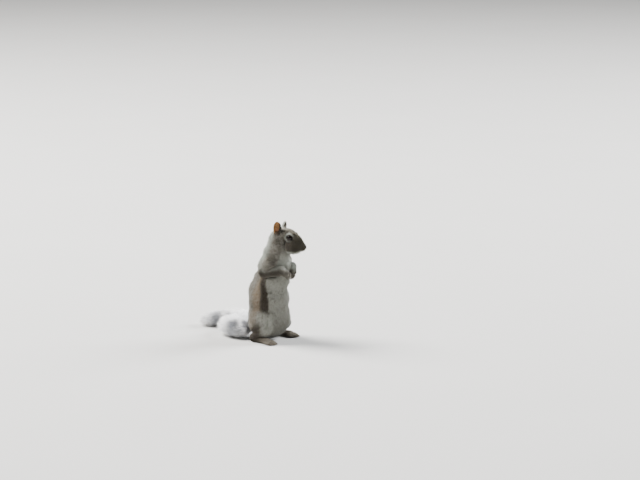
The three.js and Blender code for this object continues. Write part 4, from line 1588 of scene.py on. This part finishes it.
class SQUIRREL_OT_skin(bpy.types.Operator):
    """Make the one skin that carries the coat"""
    bl_idname = "squirrel.skin"
    bl_label = "Skin"

    def execute(self, context):
        _, colours = settings()
        fur_group(colours)
        mottle_group()
        axes = [graded(spans) for spans in GRID]
        places, quads = surface_net(field_on_grid(axes), axes)
        places = settle(places.astype(np.float32))
        vertices = to_scene(places)
        skin = mesh_object(
            "skin", vertices, quads.ravel(), np.full(len(quads), 4), skin_material(colours))
        print("skin", len(vertices), "vertices", len(quads), "quads")
        self.paint(skin.data, places)
        set_uv(skin.data, unwrapped(vertices, quads))
        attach(skin, BODY)
        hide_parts(*FLESH)
        return {"FINISHED"}

    def paint(self, mesh, p):
        """Stores the lie of the coat, its style and its markings on the skin."""
        normal = read_rows(mesh.vertex_normals, "vector", 3).T
        styled, share = style_weights(p)
        lie = sum(part.lie(p) * w for part, w in zip(styled, share))
        style = sum(np.array(STYLE[part.style][2:])[:, None] * w for part, w in zip(styled, share))
        zone = {name: sum(w for part, w in zip(styled, share) if part.style in styles)
                for name, styles in ZONES.items()}
        self.shape_tail(p, normal, zone, style)
        lie, near_eye = parted_round_eyes(p, unit(lie))
        style[0] *= 1 - 0.42 * near_eye
        style[1] *= 1 - 0.25 * near_eye
        style[2] += 6 * near_eye
        style[3] *= 1 + 0.7 * near_eye
        masks = markings(p, normal, zone)
        masks["hairless"] = hairless(p, normal)
        style[3][masks["hairless"]] = 0
        # The skin is coloured as hair partway up from its root, so it carries the painted shade deep in
        # the coat.
        along = 0.42 - 0.27 * zone["tail"]
        middle = np.full(p.shape[1], 0.5)
        set_layer(mesh, "lie", unit(lie).T)
        set_layer(mesh, "style", style[:3].T)
        set_layer(mesh, "density", style[3])
        set_layer(mesh, "zone", np.argmax(np.stack(list(zone.values())), 0))
        for name, held in MASK_LAYERS.items():
            set_layer(mesh, name, np.stack([masks[key] for key in held], 1))
        set_layer(mesh, "strand", np.stack((along, middle, middle), 1))

    def shape_tail(self, p, normal, zone, style):
        """Longer hair at the tail's sides and end, pressed flat under it, shorter at its root."""
        s, _, _ = tail_place(p)
        tail = zone["tail"]
        sideways = np.sqrt(normal[0] ** 2 + normal[1] ** 2)
        style[0] *= 1 - tail * (1 - (0.75 + 0.25 * ramp(s, 5, 35)) * (0.8 + 0.28 * sideways))
        style[2] += tail * (sideways * 7 - 16 * ramp(-normal[2], 0.1, 0.7))
        style[3] *= 1 - tail * 0.5 * ramp(-normal[2], 0.4, 0.9)


def grow_group(group):
    """Grows the coat's pieces of one group."""
    sizes, _ = settings()
    skin = skin_rows(bpy.data.objects["skin"].data)
    material = bpy.data.materials.get("squirrel_coat") or coat_material()
    quads = skin["quads"]
    centres = to_body(skin["place"][quads].mean(1))
    for number, piece in enumerate(coat_pieces(centres, skin["zone"][quads[:, 0]])):
        if piece.group == group:
            grow_coat(piece, skin, 100 * number + 7, material, sizes)
    return {"FINISHED"}


class SQUIRREL_OT_coat_head(bpy.types.Operator):
    """Grow the short coat of the face, crown and ears"""
    bl_idname = "squirrel.coat_head"
    bl_label = "Coat of the head"

    def execute(self, context):
        return grow_group("head")


class SQUIRREL_OT_coat_trunk(bpy.types.Operator):
    """Grow the coat of the neck, back, flanks and belly"""
    bl_idname = "squirrel.coat_trunk"
    bl_label = "Coat of the trunk"

    def execute(self, context):
        return grow_group("trunk")


class SQUIRREL_OT_coat_limbs(bpy.types.Operator):
    """Grow the coat of the arms, legs and paws"""
    bl_idname = "squirrel.coat_limbs"
    bl_label = "Coat of the limbs"

    def execute(self, context):
        return grow_group("limbs")


class SQUIRREL_OT_coat_tail(bpy.types.Operator):
    """Grow the long hair of the tail"""
    bl_idname = "squirrel.coat_tail"
    bl_label = "Coat of the tail"

    def execute(self, context):
        return grow_group("tail")


class SQUIRREL_OT_eyes(bpy.types.Operator):
    """Make both eyeballs, each with a slightly bulging cornea"""
    bl_idname = "squirrel.eyes"
    bl_label = "Eyes"

    def execute(self, context):
        sizes, colours = settings()
        material = eye_material(colours)
        for side, label in SIDES:
            self.add_eye(side, label, sizes.eye_radius / MM, material)
        return {"FINISHED"}

    def add_eye(self, side, label, radius, material):
        rings, around = 27, 48
        off = np.repeat(np.linspace(0, np.pi, rings + 2)[1:-1], around)
        turn = np.tile(side * np.linspace(0, 2 * np.pi, around, endpoint=False), rings)
        off, turn = np.append(off, (0, np.pi)), np.append(turn, (0, 0))
        bulge = radius * (1 + CORNEA * (1 - ramp(off, 0, 0.75)))
        local = np.stack((np.cos(off), np.sin(off) * np.cos(turn), np.sin(off) * np.sin(turn))) * bulge
        points = np.array([from_head(q) for q in (eye_axes(side) @ local).T + flipped(EYE, side)]).T
        corners, counts, _ = ring_faces(rings, around)
        eye = mesh_object(f"eyeball_{label}", to_scene(points), corners, counts, material)
        set_layer(eye.data, "off_axis", off)
        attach(eye, BODY)
        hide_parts(f"eye_{label}")


def tapered_rod(points, radii, sides):
    """Closed rod through points, as rows, with a radius at each: vertices, corners and face sizes."""
    points = np.array(points, float)
    way = np.gradient(points, axis=0)
    way /= np.linalg.norm(way, axis=1)[:, None]
    helper = np.array((0, 0, 1.0)) if abs(way[0, 2]) < 0.8 else np.array((1.0, 0, 0))
    side = np.cross(way, helper)
    side /= np.linalg.norm(side, axis=1)[:, None]
    up = np.cross(side, way)
    turn = np.linspace(0, 2 * np.pi, sides, endpoint=False)
    ring = side[:, None] * np.cos(turn)[None, :, None] - up[:, None] * np.sin(turn)[None, :, None]
    rows = points[:-1, None] + ring[:-1] * np.array(radii)[:-1, None, None]
    rows = np.concatenate((rows.reshape(-1, 3), points[:1], points[-1:]))
    corners, counts, _ = ring_faces(len(points) - 1, sides)
    return rows, corners, counts


def joined_rods(name, rods, material):
    """One mesh of many rods, with the place along each stored on it."""
    rows, corners, counts, along = [], [], [], []
    start = 0
    for points, radii, sides in rods:
        own, own_corners, own_counts = tapered_rod(points, radii, sides)
        rows.append(own)
        corners.append(own_corners + start)
        counts.append(own_counts)
        along.append(np.append(np.repeat(np.linspace(0, 1, len(points))[:-1], sides), (0, 1)))
        start += len(own)
    obj = mesh_object(name, *(np.concatenate(part) for part in (rows, corners, counts)), material)
    set_layer(obj.data, "along", np.concatenate(along))
    return obj


class SQUIRREL_OT_claws(bpy.types.Operator):
    """Make the curved claws of all four paws"""
    bl_idname = "squirrel.claws"
    bl_label = "Claws"

    def execute(self, context):
        sizes, colours = settings()
        material = horn_material("squirrel_claw", colours.horn, colours.horn_tip, 0.28)
        radius, down = sizes.claw_radius / MM, np.array((0, 0, -1.0))
        for side, label in SIDES:
            fingers, palmar = finger_curves(label)
            self.add_claws(f"hand_{label}", fingers, palmar, 1.0, 1.6, radius, material)
            self.add_claws(f"foot_{label}", toe_curves(side), down, 0.3, 0.9, radius, material)
        return {"FINISHED"}

    def add_claws(self, paw, curves, palmar, slope, droop, radius, material):
        """Claws that go on from the digits' tips and bend towards the palm or sole."""
        rods = []
        for curve in curves:
            tip = np.array(curve[2])
            forward = tip - curve[1]
            forward[2] *= slope
            forward = unit(forward)
            start = tip - forward * CLAW_SET_BACK - palmar * CLAW_RAISED
            steps = np.linspace(0, 1, 9)
            rise = CLAW_ARCH * np.sin(0.8 * np.pi * steps)
            path = [start + forward * CLAW_LENGTH * t + palmar * (droop * t * t - h)
                    for t, h in zip(steps, rise)]
            radii = radius * (1 - steps ** 1.6) ** 0.8
            rods.append((to_scene(np.array(path).T), radii * MM, 10))
        claws = joined_rods(f"claws_{paw}", rods, material)
        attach(claws, BODY)
        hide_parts(*(n for n in CLAW_NODES if n.startswith(f"claw_{paw}_")))


def stepped(rows, *counts):
    """First of several rows of numbers, with each of the others added to it so many times."""
    return sum(np.multiply(row, count) for row, count in zip(rows, (1, *counts)))


class SQUIRREL_OT_whiskers(bpy.types.Operator):
    """Make the whiskers of the muzzle and the few long hairs over the eyes"""
    bl_idname = "squirrel.whiskers"
    bl_label = "Whiskers"

    def execute(self, context):
        sizes, colours = settings()
        material = horn_material("squirrel_whisker", colours.whisker, colours.whisker, 0.4)
        rng = np.random.default_rng(41)
        longest = sizes.whisker_length / MM
        rods = []
        for side in (-1, 1):
            for row, hairs in enumerate(WHISKERS_IN_ROWS):
                for place in range(hairs):
                    start = flipped(stepped(WHISKER_ROOTS, place, row), side)
                    out = flipped(stepped(WHISKER_WAYS, place, row), side)
                    length = longest * (0.5 + 0.16 * place) * rng.uniform(0.85, 1.0)
                    rods.append(self.whisker(start, out, length, sizes.whisker_radius, rng))
            for place in range(BROW_HAIRS):
                start = flipped(stepped(BROW_HAIR_ROOTS, place), side)
                out = flipped(stepped(BROW_HAIR_WAYS, place), side)
                rods.append(self.whisker(start, out, longest * 0.42, sizes.whisker_radius * 0.8, rng))
        whiskers = joined_rods("whiskers", rods, material)
        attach(whiskers, BODY)
        return {"FINISHED"}

    def whisker(self, start, out, length, radius, rng):
        """Hair from a point of the head's frame that sweeps back and droops."""
        steps = np.linspace(0, 1, 9)
        out = unit(out + rng.normal(size=3) * 0.06)
        sweep = np.array((-0.55, 0, -0.22)) * rng.uniform(0.7, 1.2)
        points = [from_head(start + length * (out * (t - 0.04) + sweep * t * t)) for t in steps]
        radii = radius * (1 - 0.92 * steps)
        return to_scene(np.array(points).T), radii, 5


# The camera: where it looks from, and where the trunk's foot lies from the middle of the picture.
CAMERA_AZIMUTH = math.radians(35)
CAMERA_ELEVATION = math.radians(14)
CAMERA_DISTANCE = 4.5
PICTURE = (640, 480)
FOOT_PIXEL = (268.5, 338.3)
FOCAL_PIXELS = 2160
SENSOR = 36.0

# Lamps: place from the trunk's foot and size in metres, power in watts, colour.
LAMPS = {
    "key_light": ((-4.8, -0.9, 5.2), 4.0, 1950, (1.0, 0.985, 0.96)),
    "back_light": ((3.5, 4.9, 3.8), 4.0, 1250, (0.97, 0.985, 1.0)),
    "fill_light": ((5.3, -6.4, 3.6), 6.0, 25, (0.95, 0.98, 1.0)),
}
AIM_HEIGHT = 0.12


class SQUIRREL_OT_stage(bpy.types.Operator):
    """Set the floor, the studio light and the camera"""
    bl_idname = "squirrel.stage"
    bl_label = "Stage"

    def execute(self, context):
        foot = Vector(SHIFT)
        foot.z = 0
        self.add_camera(context, foot)
        self.add_floor()
        self.add_world(context)
        for name, lamp in LAMPS.items():
            self.add_lamp(context, name, foot, *lamp)
        return {"FINISHED"}

    def add_camera(self, context, foot):
        flat = math.cos(CAMERA_ELEVATION)
        back = Vector((math.sin(CAMERA_AZIMUTH) * flat, -math.cos(CAMERA_AZIMUTH) * flat,
                       math.sin(CAMERA_ELEVATION)))
        right = Vector((math.cos(CAMERA_AZIMUTH), math.sin(CAMERA_AZIMUTH), 0))
        up = back.cross(right)
        aside = PICTURE[0] / 2 - FOOT_PIXEL[0]
        above = FOOT_PIXEL[1] - PICTURE[1] / 2
        look = -back * FOCAL_PIXELS + right * aside + up * above
        data = bpy.data.cameras.new("camera")
        data.sensor_width = SENSOR
        data.lens = SENSOR * FOCAL_PIXELS / PICTURE[0]
        data.clip_end = 100
        camera = bpy.data.objects.new("camera", data)
        camera.location = foot + back * CAMERA_DISTANCE
        camera.rotation_euler = look.to_track_quat("-Z", "Y").to_euler()
        context.scene.collection.objects.link(camera)
        context.scene.camera = camera

    def add_floor(self):
        """Wide flat floor with a backdrop's gentle grain."""
        reach = 40.0
        rows = np.array(((-1, -1, 0), (1, -1, 0), (1, 1, 0), (-1, 1, 0))) * reach
        floor = mesh_object("floor", rows, [0, 1, 2, 3], [4], floor_material())

    def add_world(self, context):
        world = bpy.data.worlds.new("studio")
        world.use_nodes = True
        sky = world.node_tree.nodes["Background"]
        sky.inputs["Color"].default_value = (0.93, 0.96, 1.0, 1)
        sky.inputs["Strength"].default_value = 0.06
        context.scene.world = world

    def add_lamp(self, context, name, foot, offset, size, power, colour):
        data = bpy.data.lights.new(name, "AREA")
        data.shape = "DISK"
        data.size = size
        data.energy = power
        data.color = colour
        lamp = bpy.data.objects.new(name, data)
        lamp.location = foot + Vector(offset)
        aim = Vector((0, 0, AIM_HEIGHT)) - Vector(offset)
        lamp.rotation_euler = aim.to_track_quat("-Z", "Y").to_euler()
        context.scene.collection.objects.link(lamp)


STEPS = (
    SQUIRREL_OT_stage, SQUIRREL_OT_skin, SQUIRREL_OT_eyes, SQUIRREL_OT_claws, SQUIRREL_OT_whiskers,
    SQUIRREL_OT_coat_head, SQUIRREL_OT_coat_trunk, SQUIRREL_OT_coat_limbs, SQUIRREL_OT_coat_tail,
)


class SQUIRREL_PT_panel(bpy.types.Panel):
    """Lists the settings and the steps of the figure"""
    bl_idname = "SQUIRREL_PT_panel"
    bl_label = "Squirrel"
    bl_space_type = "VIEW_3D"
    bl_region_type = "UI"
    bl_category = "Squirrel"

    def draw(self, context):
        for group in (context.scene.squirrel_sizes, context.scene.squirrel_colours):
            for key in group.__annotations__:
                self.layout.prop(group, key)
        for step in STEPS:
            self.layout.operator(step.bl_idname)


CLASSES = (SquirrelSizes, SquirrelColours, *STEPS, SQUIRREL_PT_panel)


def register():
    for each in CLASSES:
        bpy.utils.register_class(each)
    bpy.types.Scene.squirrel_sizes = bpy.props.PointerProperty(type=SquirrelSizes)
    bpy.types.Scene.squirrel_colours = bpy.props.PointerProperty(type=SquirrelColours)


def unregister():
    del bpy.types.Scene.squirrel_colours
    del bpy.types.Scene.squirrel_sizes
    for each in reversed(CLASSES):
        bpy.utils.unregister_class(each)


def main():
    register()
    bpy.ops.squirrel.stage()
    bpy.ops.squirrel.skin()
    bpy.ops.squirrel.eyes()
    bpy.ops.squirrel.claws()
    bpy.ops.squirrel.whiskers()
    bpy.ops.squirrel.coat_head()
    bpy.ops.squirrel.coat_trunk()
    bpy.ops.squirrel.coat_limbs()
    bpy.ops.squirrel.coat_tail()


if __name__ == "__main__":
    main()
